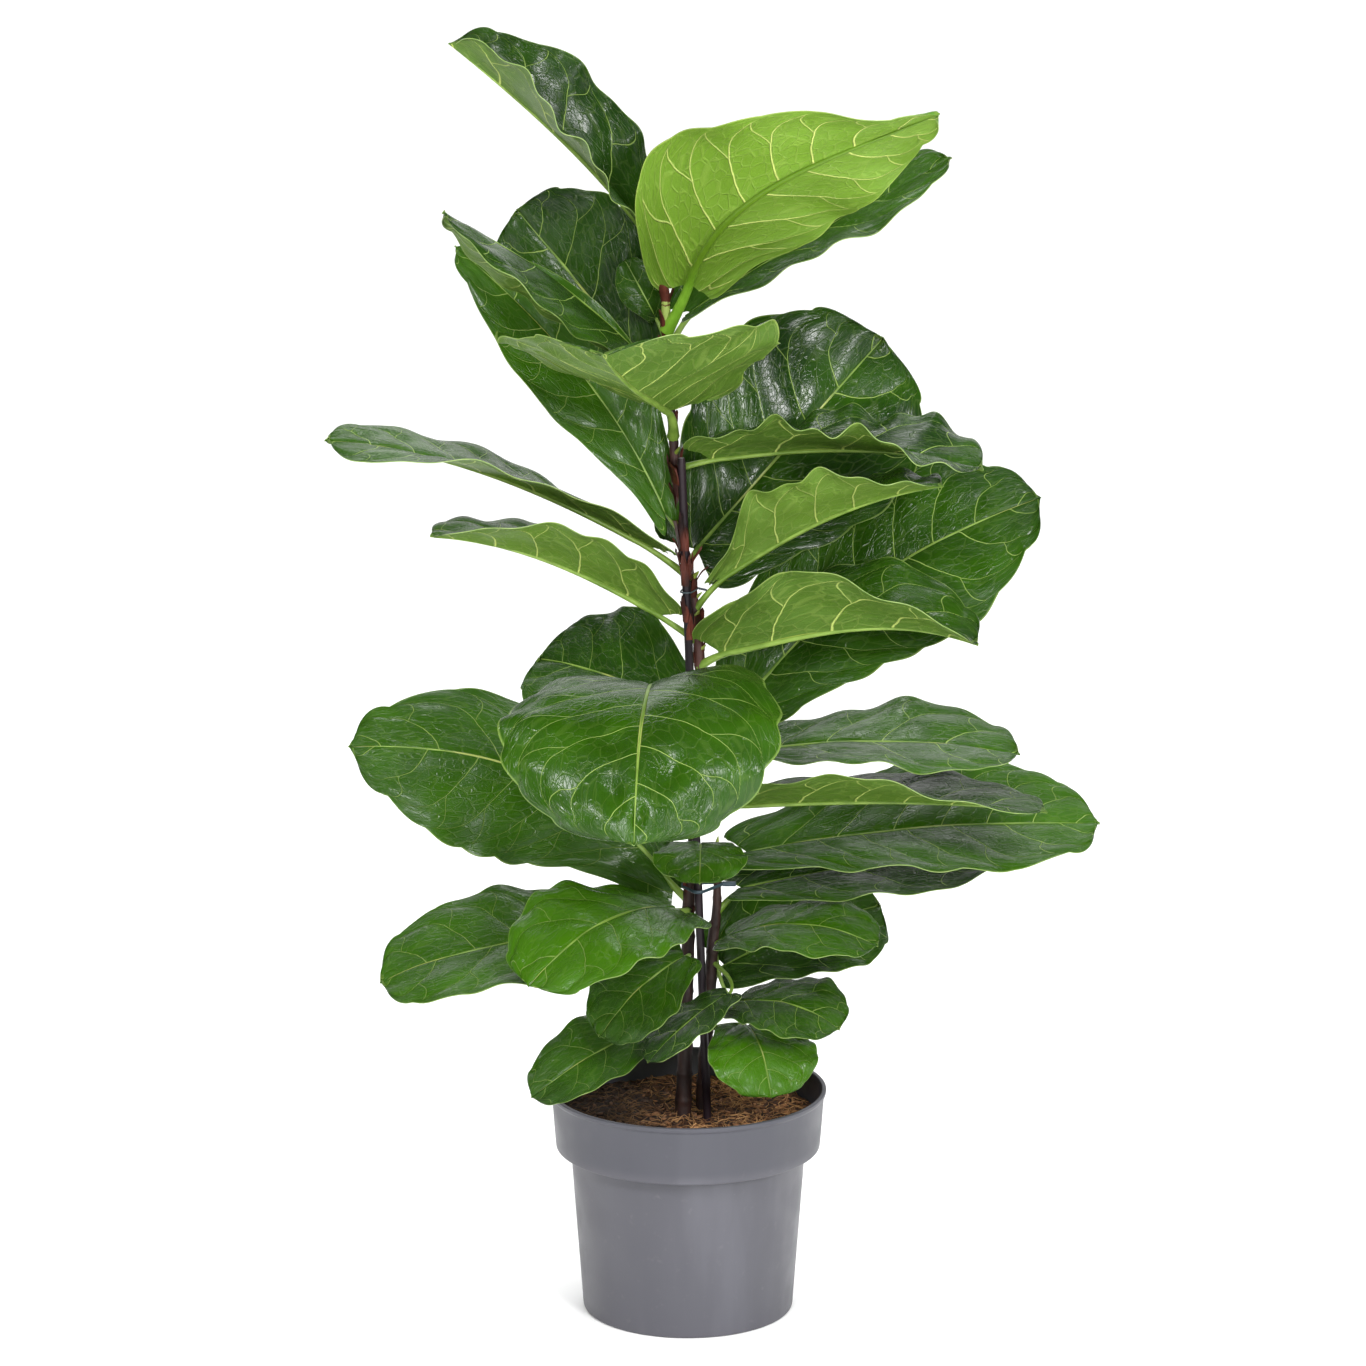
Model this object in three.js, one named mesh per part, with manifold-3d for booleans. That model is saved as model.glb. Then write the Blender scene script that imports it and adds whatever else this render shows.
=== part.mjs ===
// A potted fiddle leaf fig: nursery pot, coir soil, two woody stems, a stake and its ties,
// and one solid for each leaf. Millimetres, +Z up, origin at the middle of the pot's underside.
import * as THREE from 'three';
import { mergeVertices } from 'three/addons/utils/BufferGeometryUtils.js';
import Module from 'manifold-3d';

const wasm = await Module();
wasm.setup();

// Driving dimensions
const gap = 0.3; // clear space between neighbouring pieces
const rimRadius = 135;
const potHeight = 222;
const footRadius = 103;
const wall = 2;
const collarHeight = 57;
const neckRadius = 115; // body just under the collar
const collarStep = 14.5; // from the neck out to the foot of the collar
const lipWidth = 4.5;
const lipHeight = 4;
const bossRadius = 40; // round patch the pot stands on in its middle
const footRing = 5; // width of the ring it stands on round its edge
const floorRise = 3; // of the underside between the two
const floorTop = 5.5;
const soilTop = 194;
const soilRoughness = 2.2;
const soilRings = [104, 78, 52, 26, 0];
const roundSteps = 40;
const drainHoles = 8;
const drainRadius = 6;
const drainCircle = 72;
const bladeThickness = 1.1;
const ribDepth = 2.6;
const ribWidth = 0.06; // share of the half width
const tipShare = 0.16;
const earLead = -0.06; // how far the margin runs ahead at the foot, as a share of the length
const tipLead = -0.02;
const petioleRadius = 2.9;
const petioleSteps = 4;
const petioleSides = 6;
const swelling = 0.07; // of a stem at each joint, as a share of its radius

// Ties: slack inside the loop, height above the floor, how tall and how thick the band is
const tieSlack = 0.9;
const clip = { height: 423, tall: 3.4, thickness: 1.3 };
const wireTie = { height: 717, tall: 1.6, thickness: 0.8 };

const colours = {
  pot: 0x74747c,
  soil: 0x5a3b26,
  bark: 0x3a2018,
  stake: 0x2c222b,
  tie: 0x34434c,
  leaf: 0x2f6b1c,
  youngLeaf: 0x7aa43c,
};

const bladeRows = [0, 0.07, 0.21, 0.39, 0.58, 0.76, 0.91, 1]; // places along the midrib
const bladeColumns = [-1, -0.55, -ribWidth, 0, ribWidth, 0.55, 1];

// Axis of each woody stem: x, y, z and radius
const trunkPath = [
  [-6, -6, 120, 8.5], [-5, -6, 193, 8], [-3, -2, 249, 7.2], [-2, 4, 308, 6.8], [0, 8, 368, 6.4],
  [1, 8, 415, 6], [9, 8, 508, 5.6], [12, 8, 607, 5.4], [10, 8, 661, 5.2], [4, 8, 710, 5.2],
  [-4, 8, 754, 5], [-10, 8, 803, 4.6], [-14, 8, 860, 4.4], [-17, 6, 899, 4.2],
  [-20, 2, 948, 4.2], [-21, 1, 986, 4.4], [-22, 1, 1018, 2.4],
];
const sideStemPath = [
  [14, 22, 130, 7], [14, 22, 193, 6.8], [17, 18, 249, 6.4], [21, 15, 305, 6], [24, 14, 362, 5.6],
  [28, 14, 400, 4.4], [28, 14, 440, 3], [27, 14, 462, 1.6],
];
const stakePath = [[24, -14, 60, 4.2], [-6.5, -9, 846, 4.2]];

// Each leaf: the stem it grows from and the height of its root; foot and tip of the blade;
// bend, how far the midrib rises towards the upper face at a third and two thirds, and sway,
// the same towards the right; width; roll, the turn of the upper face from skyward to the
// right, seen along the leaf; fold of the left and right half at the foot, then at the tip;
// shape, where the blade is widest, its width share at the foot and how pointed its tip is;
// and the wave of the margin: height, number and phase.
const leaves = [
  { name: 'leaf_01', stem: 'trunk', root: 985, foot: [-34, 14, 1050], tip: [-222, -20, 1238],
    bend: [12, 8], sway: [0, 0], width: 130, roll: -38, fold: [32, 34, 80, 50],
    shape: [0.5, 0.5, 0.6], wave: [6, 3, 0] },
  { name: 'leaf_02', stem: 'trunk', root: 965, foot: [1, -16, 1012], tip: [225, -190, 1190],
    bend: [0, 0], sway: [44, 14], width: 194, roll: -52, fold: [30, 4, 5, -42],
    shape: [0.3, 0.45, 1.0], wave: [7, 2.5, 1], colour: 'youngLeaf' },
  { name: 'leaf_03', stem: 'trunk', root: 940, foot: [2, 27, 980], tip: [251, 68, 1121],
    bend: [0, 0], sway: [-10, -5], width: 178, roll: 20, fold: [20, 20, 10, 10],
    shape: [0.5, 0.36, 0.9], wave: [4, 2, 0] },
  { name: 'leaf_04', stem: 'trunk', root: 950, foot: [-31, 22, 976], tip: [-60, 27, 1030],
    bend: [5, 5], sway: [0, 0], width: 44, roll: -76, fold: [15, 15, 10, 10],
    shape: [0.5, 0.4, 0.6], wave: [3, 2, 0] },
  { name: 'leaf_05', stem: 'trunk', root: 915, foot: [-50, 34, 941], tip: [-165, 105, 1068],
    bend: [0, 0], sway: [0, 0], width: 176, roll: -78, fold: [0, 5, 0, 5],
    shape: [0.5, 0.42, 0.6], wave: [4, 2, 0] },
  { name: 'leaf_06', stem: 'trunk', root: 900, foot: [-44, -8, 943], tip: [-227, -75, 1087],
    bend: [10, 10], sway: [0, 0], width: 155, roll: -28, fold: [0, -50, 10, -45],
    shape: [0.5, 0.4, 0.7], wave: [3, 2, 0] },
  { name: 'leaf_07', stem: 'trunk', root: 770, foot: [-22, 6, 790], tip: [-223, 64, 1038],
    bend: [5, 5], sway: [20, 15], width: 114, roll: -70, fold: [30, 8, 35, 8],
    shape: [0.5, 0.28, 0.9], wave: [5, 2, 0] },
  { name: 'leaf_08', stem: 'trunk', root: 864, foot: [-17, -34, 894], tip: [-76, -255, 982],
    bend: [0, -10], sway: [0, 0], width: 282, roll: 5, fold: [20, 22, 20, 22],
    shape: [0.5, 0.5, 0.6], wave: [5, 2, 0] },
  { name: 'leaf_09', stem: 'trunk', root: 727, foot: [-34, -4, 758], tip: [-341, -50, 870],
    bend: [14, 20], sway: [0, 0], width: 140, roll: -6, fold: [30, 0, -10, 8],
    shape: [0.65, 0.4, 0.5], wave: [4, 2, 0] },
  { name: 'leaf_10', stem: 'trunk', root: 664, foot: [-26, 2, 692], tip: [-242, -70, 782],
    bend: [10, 16], sway: [0, 0], width: 152, roll: 0, fold: [38, 20, 16, 10],
    shape: [0.45, 0.35, 0.5], wave: [4, 2, 0] },
  { name: 'leaf_11', stem: 'trunk', root: 735, foot: [8, 42, 748], tip: [190, 135, 940],
    bend: [0, 0], sway: [0, 0], width: 225, roll: 62, fold: [10, 10, 5, 5],
    shape: [0.6, 0.5, 0.6], wave: [5, 2, 0] },
  { name: 'leaf_12', stem: 'trunk', root: 832, foot: [20, 4, 843], tip: [276, -70, 846],
    bend: [10, 15], sway: [0, 0], width: 150, roll: 3, fold: [18, 38, 15, 0],
    shape: [0.6, 0.6, 0.5], wave: [8, 3, 0] },
  { name: 'leaf_13', stem: 'trunk', root: 694, foot: [30, -4, 728], tip: [238, -80, 832],
    bend: [10, 15], sway: [0, 0], width: 138, roll: 0, fold: [18, 58, 12, 10],
    shape: [0.46, 0.12, 0.5], wave: [6, 3, 0] },
  { name: 'leaf_14', stem: 'trunk', root: 587, foot: [66, 30, 614], tip: [341, 70, 793],
    bend: [16, 14], sway: [-18, -16], width: 205, roll: 50, fold: [10, 10, 5, 5],
    shape: [0.55, 0.5, 0.8], wave: [5, 2, 0] },
  { name: 'leaf_15', stem: 'trunk', root: 640, foot: [30, -4, 656], tip: [272, -90, 682],
    bend: [10, 25], sway: [0, 0], width: 185, roll: 0, fold: [35, 52, 30, 20],
    shape: [0.45, 0.5, 0.7], wave: [4, 2, 0] },
  { name: 'leaf_16', stem: 'trunk', root: 590, foot: [-16, 28, 598], tip: [-146, 120, 624],
    bend: [10, 10], sway: [0, 0], width: 160, roll: -35, fold: [10, 10, 5, 5],
    shape: [0.5, 0.5, 0.5], wave: [5, 2, 0] },
  { name: 'leaf_17', stem: 'trunk', root: 607, foot: [-36, -40, 634], tip: [-50, -230, 524],
    bend: [30, 40], sway: [0, 0], width: 262, roll: 0, fold: [15, 5, -10, -10],
    shape: [0.5, 0.7, 0.5], wave: [5, 2, 0] },
  { name: 'leaf_18', stem: 'trunk', root: 408, foot: [-14, 16, 420], tip: [-328, 12, 560],
    bend: [30, 22], sway: [36, 30], width: 190, roll: -47, fold: [-22, -22, -10, -10],
    shape: [0.6, 0.35, 0.8], wave: [4, 2, 0] },
  { name: 'leaf_19', stem: 'trunk', root: 545, foot: [50, 10, 555], tip: [318, -20, 560],
    bend: [12, 12], sway: [0, 0], width: 160, roll: 10, fold: [5, 5, 5, 5],
    shape: [0.6, 0.4, 0.5], wave: [4, 2, 0] },
  { name: 'leaf_20', stem: 'trunk', root: 492, foot: [36, 8, 503], tip: [341, -70, 516],
    bend: [5, 8], sway: [0, 0], width: 155, roll: 0, fold: [10, 35, 5, 5],
    shape: [0.5, 0.5, 0.5], wave: [4, 2, 0] },
  { name: 'leaf_21', stem: 'sideStem', root: 432, foot: [57, 26, 452], tip: [400, 30, 479],
    bend: [10, 12], sway: [0, 0], width: 200, roll: 20, fold: [10, 10, 5, 5],
    shape: [0.6, 0.4, 0.6], wave: [4, 2, 0] },
  { name: 'leaf_22', stem: 'sideStem', root: 392, foot: [52, 20, 418], tip: [318, 50, 450],
    bend: [5, 5], sway: [0, 0], width: 135, roll: 20, fold: [5, 5, 5, 5],
    shape: [0.55, 0.4, 0.6], wave: [4, 2, 0] },
  { name: 'leaf_23', stem: 'sideStem', root: 445, foot: [12, -34, 476], tip: [11, -110, 456],
    bend: [8, 8], sway: [0, 0], width: 90, roll: 0, fold: [0, 0, -10, -10],
    shape: [0.55, 0.6, 0.7], wave: [2, 2, 0] },
  { name: 'leaf_24', stem: 'trunk', root: 376, foot: [-36, -14, 386], tip: [-297, -38, 338],
    bend: [10, 20], sway: [0, 0], width: 165, roll: -20, fold: [5, 5, 5, 5],
    shape: [0.6, 0.4, 0.5], wave: [4, 2, 0] },
  { name: 'leaf_25', stem: 'trunk', root: 398, foot: [-12, -30, 410], tip: [-150, -150, 366],
    bend: [25, 25], sway: [0, 0], width: 168, roll: -10, fold: [0, 0, 0, 0],
    shape: [0.5, 0.6, 0.5], wave: [3, 2, 0] },
  { name: 'leaf_26', stem: 'sideStem', root: 362, foot: [38, 0, 374], tip: [182, -60, 381],
    bend: [15, 20], sway: [0, 0], width: 112, roll: 15, fold: [0, 0, 0, 0],
    shape: [0.55, 0.5, 0.5], wave: [3, 2, 0] },
  { name: 'leaf_27', stem: 'sideStem', root: 318, foot: [36, 46, 332], tip: [190, 88, 382],
    bend: [10, 10], sway: [0, 0], width: 148, roll: 44, fold: [10, 30, 5, 0],
    shape: [0.55, 0.6, 0.5], wave: [3, 2, 0] },
  { name: 'leaf_28', stem: 'trunk', root: 352, foot: [-4, -24, 361], tip: [-85, -60, 290],
    bend: [10, 10], sway: [0, 0], width: 112, roll: -20, fold: [0, 0, 0, 0],
    shape: [0.55, 0.5, 0.6], wave: [3, 2, 0] },
  { name: 'leaf_29', stem: 'trunk', root: 285, foot: [-19, -15, 294], tip: [-151, -60, 229],
    bend: [10, 10], sway: [0, 0], width: 92, roll: -25, fold: [5, 5, 5, 5],
    shape: [0.55, 0.5, 0.6], wave: [3, 2, 0] },
  { name: 'leaf_30', stem: 'sideStem', root: 345, foot: [38, -34, 326], tip: [-39, -90, 274],
    bend: [5, 5], sway: [0, 0], width: 70, roll: 0, fold: [0, 0, 0, 0],
    shape: [0.5, 0.6, 0.6], wave: [2, 2, 0] },
  { name: 'leaf_31', stem: 'sideStem', root: 374, foot: [50, 2, 308], tip: [146, -58, 297],
    bend: [10, 15], sway: [0, 0], width: 108, roll: 15, fold: [0, 0, 0, 0],
    shape: [0.55, 0.6, 0.5], wave: [2, 2, 0] },
  { name: 'leaf_32', stem: 'sideStem', root: 275, foot: [58, -4, 286], tip: [80, -66, 231],
    bend: [12, 12], sway: [0, 0], width: 112, roll: 0, fold: [0, 0, 0, 0],
    shape: [0.5, 0.6, 0.5], wave: [2, 2, 0] },
];

const vector = ([x, y, z]) => new THREE.Vector3(x, y, z);
const radians = THREE.MathUtils.degToRad;

// A closed mesh as a solid that can be joined and cut
function solidOf(geometry) {
  geometry.deleteAttribute('normal');
  geometry.deleteAttribute('uv');
  const merged = mergeVertices(geometry, 1e-3);
  const corners = Array.from(merged.index.array);
  const kept = [];
  for (let i = 0; i < corners.length; i += 3) {
    const [a, b, c] = corners.slice(i, i + 3);
    if (a !== b && b !== c && c !== a) kept.push(a, b, c);
  }
  return new wasm.Manifold(new wasm.Mesh({
    numProp: 3,
    vertProperties: merged.attributes.position.array,
    triVerts: Uint32Array.from(kept),
  }));
}

function geometryOf(solid) {
  const mesh = solid.getMesh();
  const geometry = new THREE.BufferGeometry();
  geometry.setAttribute('position', new THREE.BufferAttribute(mesh.vertProperties, 3));
  geometry.setIndex(new THREE.BufferAttribute(mesh.triVerts, 1));
  return geometry;
}

// A closed skin over rings of equally many points, with a fan at each end
function loft(rings) {
  const count = rings[0].length;
  const middle = (ring) => ring.reduce((sum, p) => sum.add(p), new THREE.Vector3())
    .divideScalar(count);
  const points = [...rings.flat(), middle(rings[0]), middle(rings.at(-1))];
  const last = (rings.length - 1) * count;
  const faces = [];
  for (let j = 0; j < count; j += 1) {
    const k = (j + 1) % count;
    for (let i = 0; i < last; i += count) {
      faces.push(i + j, i + k, i + count + k, i + j, i + count + k, i + count + j);
    }
    faces.push(points.length - 2, k, j, points.length - 1, last + j, last + k);
  }
  return closedMesh(points, faces);
}

function closedMesh(points, faces) {
  const geometry = new THREE.BufferGeometry().setFromPoints(points);
  geometry.setIndex(faces);
  return geometry;
}

// A round bar along a curve, with its radius given from 0 to 1 along it
function bar(curve, radiusAt, steps, sides) {
  const frames = curve.computeFrenetFrames(steps, false);
  const rings = [];
  for (let i = 0; i <= steps; i += 1) {
    const centre = curve.getPointAt(i / steps);
    const ring = [];
    for (let j = 0; j < sides; j += 1) {
      const turn = (2 * Math.PI * j) / sides;
      const out = frames.normals[i].clone().multiplyScalar(Math.cos(turn))
        .addScaledVector(frames.binormals[i], Math.sin(turn));
      ring.push(centre.clone().addScaledVector(out, radiusAt(i / steps)));
    }
    rings.push(ring);
  }
  return solidOf(loft(rings));
}

function lathe(profile) {
  const points = profile.map(([r, z]) => new THREE.Vector2(r, z));
  return new THREE.LatheGeometry(points, roundSteps).rotateX(Math.PI / 2);
}

// Nursery pot: tapered body, collar with a rolled lip, a centre boss and a foot ring
function pot() {
  const collarFoot = potHeight - collarHeight;
  const profile = [
    [0, 0], [bossRadius, 0], [bossRadius + 2, floorRise], [footRadius - footRing - 2, floorRise],
    [footRadius - footRing, 0], [footRadius - 2, 0], [footRadius, 2],
    [neckRadius, collarFoot + 1], [neckRadius + collarStep - 3.5, collarFoot - 2],
    [neckRadius + collarStep - 1, collarFoot], [neckRadius + collarStep, collarFoot + 4],
    [rimRadius - 2, potHeight - lipHeight - 2], [rimRadius, potHeight - lipHeight],
    [rimRadius, potHeight - 2], [rimRadius - 1.5, potHeight], [rimRadius - lipWidth + 0.5, potHeight],
    [rimRadius - lipWidth, potHeight - lipHeight], [neckRadius + collarStep - 2.5, collarFoot + 4],
    [neckRadius - wall, collarFoot + 1], [footRadius - wall, 8], [footRadius - 6, floorTop],
    [0, floorTop],
  ];
  let solid = solidOf(lathe(profile));
  for (let i = 0; i < drainHoles; i += 1) {
    const turn = (2 * Math.PI * (i + 0.5)) / drainHoles;
    const drill = new THREE.CylinderGeometry(drainRadius, drainRadius, 20, 12)
      .rotateX(Math.PI / 2)
      .translate(drainCircle * Math.cos(turn), drainCircle * Math.sin(turn), 4);
    solid = solid.subtract(solidOf(drill));
  }
  return solid;
}

// Soil: fills the pot to below the rim, lumpy on top, with a plain hole for each stem
function soil() {
  const collarFoot = potHeight - collarHeight;
  const slack = wall + gap;
  const wallAtTop = rimRadius - 7.5 - gap;
  const floor = floorTop + gap;
  const profile = [
    [0, floor], [footRadius - 6.5, floor], [footRadius - slack - 0.2, 8 + 2 * gap],
    [neckRadius - slack, collarFoot + 1.2], [neckRadius + collarStep - 2.5 - gap, collarFoot + 4.4],
    [wallAtTop, soilTop - 2], ...soilRings.map((radius) => [radius, soilTop]),
  ];
  const geometry = lathe(profile);
  const place = geometry.attributes.position;
  for (let i = 0; i < place.count; i += 1) {
    if (place.getZ(i) > soilTop - 1) {
      const lump = Math.sin(place.getX(i) * 0.11) * Math.cos(place.getY(i) * 0.13 + 0.6);
      place.setZ(i, soilTop + soilRoughness * lump);
    }
  }
  let solid = solidOf(geometry);
  for (const hole of [stemSolid(trunkPath, gap), stemSolid(sideStemPath, gap), stakeSolid(gap)]) {
    solid = solid.subtract(hole);
  }
  return solid;
}

// Woody stem: swollen at each leaf joint
function stemSolid(path, extra = 0) {
  const curve = new THREE.CatmullRomCurve3(path.map(vector));
  const steps = 2 * (path.length - 1);
  const radiusAt = (t) => {
    const place = curve.getUtoTmapping(t) * (path.length - 1);
    const i = Math.min(Math.floor(place), path.length - 2);
    const radius = THREE.MathUtils.lerp(path[i][3], path[i + 1][3], place - i);
    return radius * (1 + swelling * Math.cos(Math.PI * t * steps)) + extra;
  };
  return bar(curve, radiusAt, steps, 8);
}

function stakeSolid(extra = 0) {
  const curve = new THREE.LineCurve3(...stakePath.map(vector));
  return bar(curve, () => stakePath[0][3] + extra, 1, 10);
}

// A tie: a flat band pulled round the posts that stand inside it
function bandSolid({ height, tall, thickness }, posts) {
  const block = (extra, depth) => wasm.Manifold.hull(posts.map(([x, y, radius]) => wasm.Manifold
    .cylinder(depth, radius + extra, radius + extra, 16).translate([x, y, height - depth / 2])));
  return block(tieSlack + thickness, tall).subtract(block(tieSlack, 2 * tall));
}

// Where a stem or the stake stands at a height: x, y and its radius
function postAt(path, height) {
  const { x, y } = stemPointAt(path, height);
  return [x, y, path.findLast(([, , z]) => z < height)[3]];
}

// Plastic clip round both stems and the stake, its clasp beside the second stem
function clipSolid() {
  const posts = [trunkPath, sideStemPath, stakePath].map((path) => postAt(path, clip.height));
  const [x, y] = posts[1];
  const clasp = new THREE.BoxGeometry(13, 3.6, 5).translate(x + 12, y, clip.height);
  const band = bandSolid(clip, posts);
  return band.add(solidOf(clasp));
}

// Wire twisted round the first stem and the stake
function wireTieSolid() {
  const posts = [trunkPath, stakePath].map((path) => postAt(path, wireTie.height));
  const [x, y, radius] = posts[0];
  const twist = new THREE.CylinderGeometry(0.9, 0.9, 8, 6).rotateZ(1.2)
    .translate(x + radius + 4.5, y, wireTie.height);
  return bandSolid(wireTie, posts).add(solidOf(twist));
}

// Midrib of a leaf, and the direction its upper face looks in at the foot
function midribOf(leaf) {
  const foot = vector(leaf.foot);
  const tip = vector(leaf.tip);
  const along = tip.clone().sub(foot);
  const ahead = along.clone().normalize();
  const skyward = new THREE.Vector3(0, 0, 1);
  skyward.addScaledVector(ahead, -skyward.dot(ahead)).normalize();
  const right = ahead.clone().cross(skyward);
  const up = skyward.clone().multiplyScalar(Math.cos(radians(leaf.roll)))
    .addScaledVector(right, Math.sin(radians(leaf.roll)));
  right.copy(ahead).cross(up);
  const control = (share, i) => foot.clone().addScaledVector(along, share)
    .addScaledVector(up, leaf.bend[i] * 1.5).addScaledVector(right, leaf.sway[i] * 1.5);
  return { curve: new THREE.CubicBezierCurve3(foot, control(0.33, 0), control(0.67, 1), tip), up };
}

// Share of the half width at a place along the midrib
function outline([peak, foot, point], t) {
  if (t <= 0) return foot * 0.6;
  if (t < peak) return foot + (1 - foot) * Math.sin((Math.PI / 2) * (t / peak)) ** 1.5;
  const beyond = (t - peak) / (1 - peak);
  return Math.max(tipShare, (1 - beyond * beyond) ** point);
}

// A point of the blade's middle surface and the way its upper face looks there
function bladePoint(leaf, midrib, t, column) {
  const side = column < 0 ? 0 : 1;
  const outward = Math.sign(column);
  const reach = Math.abs(column);
  const halfWidth = (leaf.width / 2) * outline(leaf.shape, t);
  const ahead = midrib.curve.getTangent(t);
  const up = midrib.up.clone().addScaledVector(ahead, -midrib.up.dot(ahead)).normalize();
  const right = ahead.clone().cross(up);
  const fold = radians(THREE.MathUtils.lerp(leaf.fold[side], leaf.fold[side + 2], t * t));
  const lead = earLead * (1 - t) ** 12 + tipLead * t ** 12;
  const [height, waves, phase] = leaf.wave;
  const ripple = height * reach * reach * Math.sin(Math.PI * t)
    * Math.sin(2 * Math.PI * waves * t + phase + 2 * side);
  const point = midrib.curve.getPoint(t)
    .addScaledVector(ahead, lead * reach * leaf.length)
    .addScaledVector(right, outward * halfWidth * reach * Math.cos(fold))
    .addScaledVector(up, halfWidth * reach * Math.sin(fold) + ripple);
  const face = up.multiplyScalar(Math.cos(fold)).addScaledVector(right, -outward * Math.sin(fold));
  return { point, face };
}

// The blade: an upper and a lower sheet split alike, closed round the margin
function bladeSolid(leaf, midrib) {
  const upper = [];
  const lower = [];
  for (const t of bladeRows) {
    for (const column of bladeColumns) {
      const { point, face } = bladePoint(leaf, midrib, t, column);
      const rib = column === 0 ? ribDepth * (1 - 0.7 * t) : 0;
      upper.push(point.clone().addScaledVector(face, bladeThickness / 2));
      lower.push(point.clone().addScaledVector(face, -bladeThickness / 2 - rib));
    }
  }
  const across = bladeColumns.length;
  const under = upper.length;
  const faces = [];
  const margin = [];
  for (let i = 0; i < bladeRows.length - 1; i += 1) {
    for (let j = 0; j < across - 1; j += 1) {
      const a = i * across + j;
      const corners = [a, a + 1, a + across + 1, a, a + across + 1, a + across];
      faces.push(...corners);
      faces.push(...corners.map((k) => k + under).reverse());
    }
  }
  for (let j = 0; j < across - 1; j += 1) margin.push(j);
  for (let i = 0; i < bladeRows.length - 1; i += 1) margin.push(i * across + across - 1);
  for (let j = across - 1; j > 0; j -= 1) margin.push((bladeRows.length - 1) * across + j);
  for (let i = bladeRows.length - 1; i > 0; i -= 1) margin.push(i * across);
  margin.forEach((a, i) => {
    const b = margin[(i + 1) % margin.length];
    faces.push(b, a, a + under, b, a + under, b + under);
  });
  return solidOf(closedMesh([...upper, ...lower], faces));
}

// The stalk runs from the stem into the underside of the midrib
function petioleSolid(leaf, midrib) {
  const stem = leaf.stem === 'trunk' ? trunkPath : sideStemPath;
  const root = stemPointAt(stem, leaf.root);
  const start = midrib.curve.getTangent(0);
  const end = midrib.curve.getPoint(0.04).addScaledVector(midrib.up, -petioleRadius * 0.6);
  const reach = root.distanceTo(end) * 0.45;
  const curve = new THREE.QuadraticBezierCurve3(root, end.clone().addScaledVector(start, -reach), end);
  const scale = leaf.width < 120 ? 0.6 : 1;
  return bar(curve, (t) => scale * petioleRadius * (1.15 - 0.35 * t), petioleSteps, petioleSides);
}

function stemPointAt(path, height) {
  const i = Math.max(1, path.findIndex(([, , z]) => z >= height));
  const share = (height - path[i - 1][2]) / (path[i][2] - path[i - 1][2]);
  return vector(path[i - 1]).lerp(vector(path[i]), share);
}

function leafSolid(leaf, stems) {
  const midrib = midribOf(leaf);
  const sized = { ...leaf, length: midrib.curve.getLength() };
  return bladeSolid(sized, midrib).add(petioleSolid(sized, midrib)).subtract(stems[leaf.stem]);
}

function piece(name, solid, colour, roughness) {
  const material = new THREE.MeshStandardMaterial({ color: colour, roughness, metalness: 0 });
  const mesh = new THREE.Mesh(geometryOf(solid), material);
  mesh.name = name;
  return mesh;
}

const plant = new THREE.Group();
plant.add(piece('pot', pot(), colours.pot, 0.5));
plant.add(piece('soil', soil(), colours.soil, 0.95));
plant.add(piece('trunk', stemSolid(trunkPath), colours.bark, 0.8));
plant.add(piece('side_stem', stemSolid(sideStemPath), colours.bark, 0.8));
plant.add(piece('stake', stakeSolid(), colours.stake, 0.6));
plant.add(piece('clip', clipSolid(), colours.tie, 0.5));
plant.add(piece('wire_tie', wireTieSolid(), colours.tie, 0.5));
const stems = { trunk: stemSolid(trunkPath, gap), sideStem: stemSolid(sideStemPath, gap) };
for (const leaf of leaves) {
  plant.add(piece(leaf.name, leafSolid(leaf, stems), colours[leaf.colour ?? 'leaf'], 0.4));
}

export default plant;
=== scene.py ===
import math
import random

import bpy
import numpy as np
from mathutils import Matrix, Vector, noise


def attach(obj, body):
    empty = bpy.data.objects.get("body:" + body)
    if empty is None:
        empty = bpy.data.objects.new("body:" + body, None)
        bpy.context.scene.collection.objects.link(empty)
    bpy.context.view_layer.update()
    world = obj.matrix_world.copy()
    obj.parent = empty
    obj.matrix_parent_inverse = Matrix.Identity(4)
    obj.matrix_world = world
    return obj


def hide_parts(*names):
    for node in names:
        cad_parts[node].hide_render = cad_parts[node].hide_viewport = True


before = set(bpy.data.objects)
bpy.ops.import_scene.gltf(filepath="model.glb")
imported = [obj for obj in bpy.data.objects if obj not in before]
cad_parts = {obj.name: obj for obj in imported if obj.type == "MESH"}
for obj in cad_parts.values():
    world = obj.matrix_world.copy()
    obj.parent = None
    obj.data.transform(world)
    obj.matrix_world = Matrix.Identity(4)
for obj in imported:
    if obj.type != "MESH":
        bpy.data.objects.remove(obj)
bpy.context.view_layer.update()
scene = bpy.context.scene
mm = 0.001
print("frame loaded:", len(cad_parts), "nodes")

# Camera, where the photograph was taken from
view = dict(place=(-0.0049, -4.5, 1.63), pitch=12.58, lens=126.8, sensor=36, reach=200)
bpy.ops.object.camera_add(location=view["place"], rotation=(math.radians(90 - view["pitch"]), 0, 0))
camera = bpy.context.object
camera.name = "studioCamera"
camera.data.lens = view["lens"]
camera.data.sensor_width = view["sensor"]
camera.data.clip_end = view["reach"]
scene.camera = camera


# Small helpers for picking, placing and finishing a piece
def pick(*objs):
    bpy.ops.object.select_all(action="DESELECT")
    for obj in objs:
        obj.select_set(True)
    bpy.context.view_layer.objects.active = objs[0]


def applyModifiers(obj):
    pick(obj)
    for modifier in list(obj.modifiers):
        bpy.ops.object.modifier_apply(modifier=modifier.name)


def smooth(obj, angle=50):
    pick(obj)
    bpy.ops.object.shade_smooth_by_angle(angle=math.radians(angle))


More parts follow.
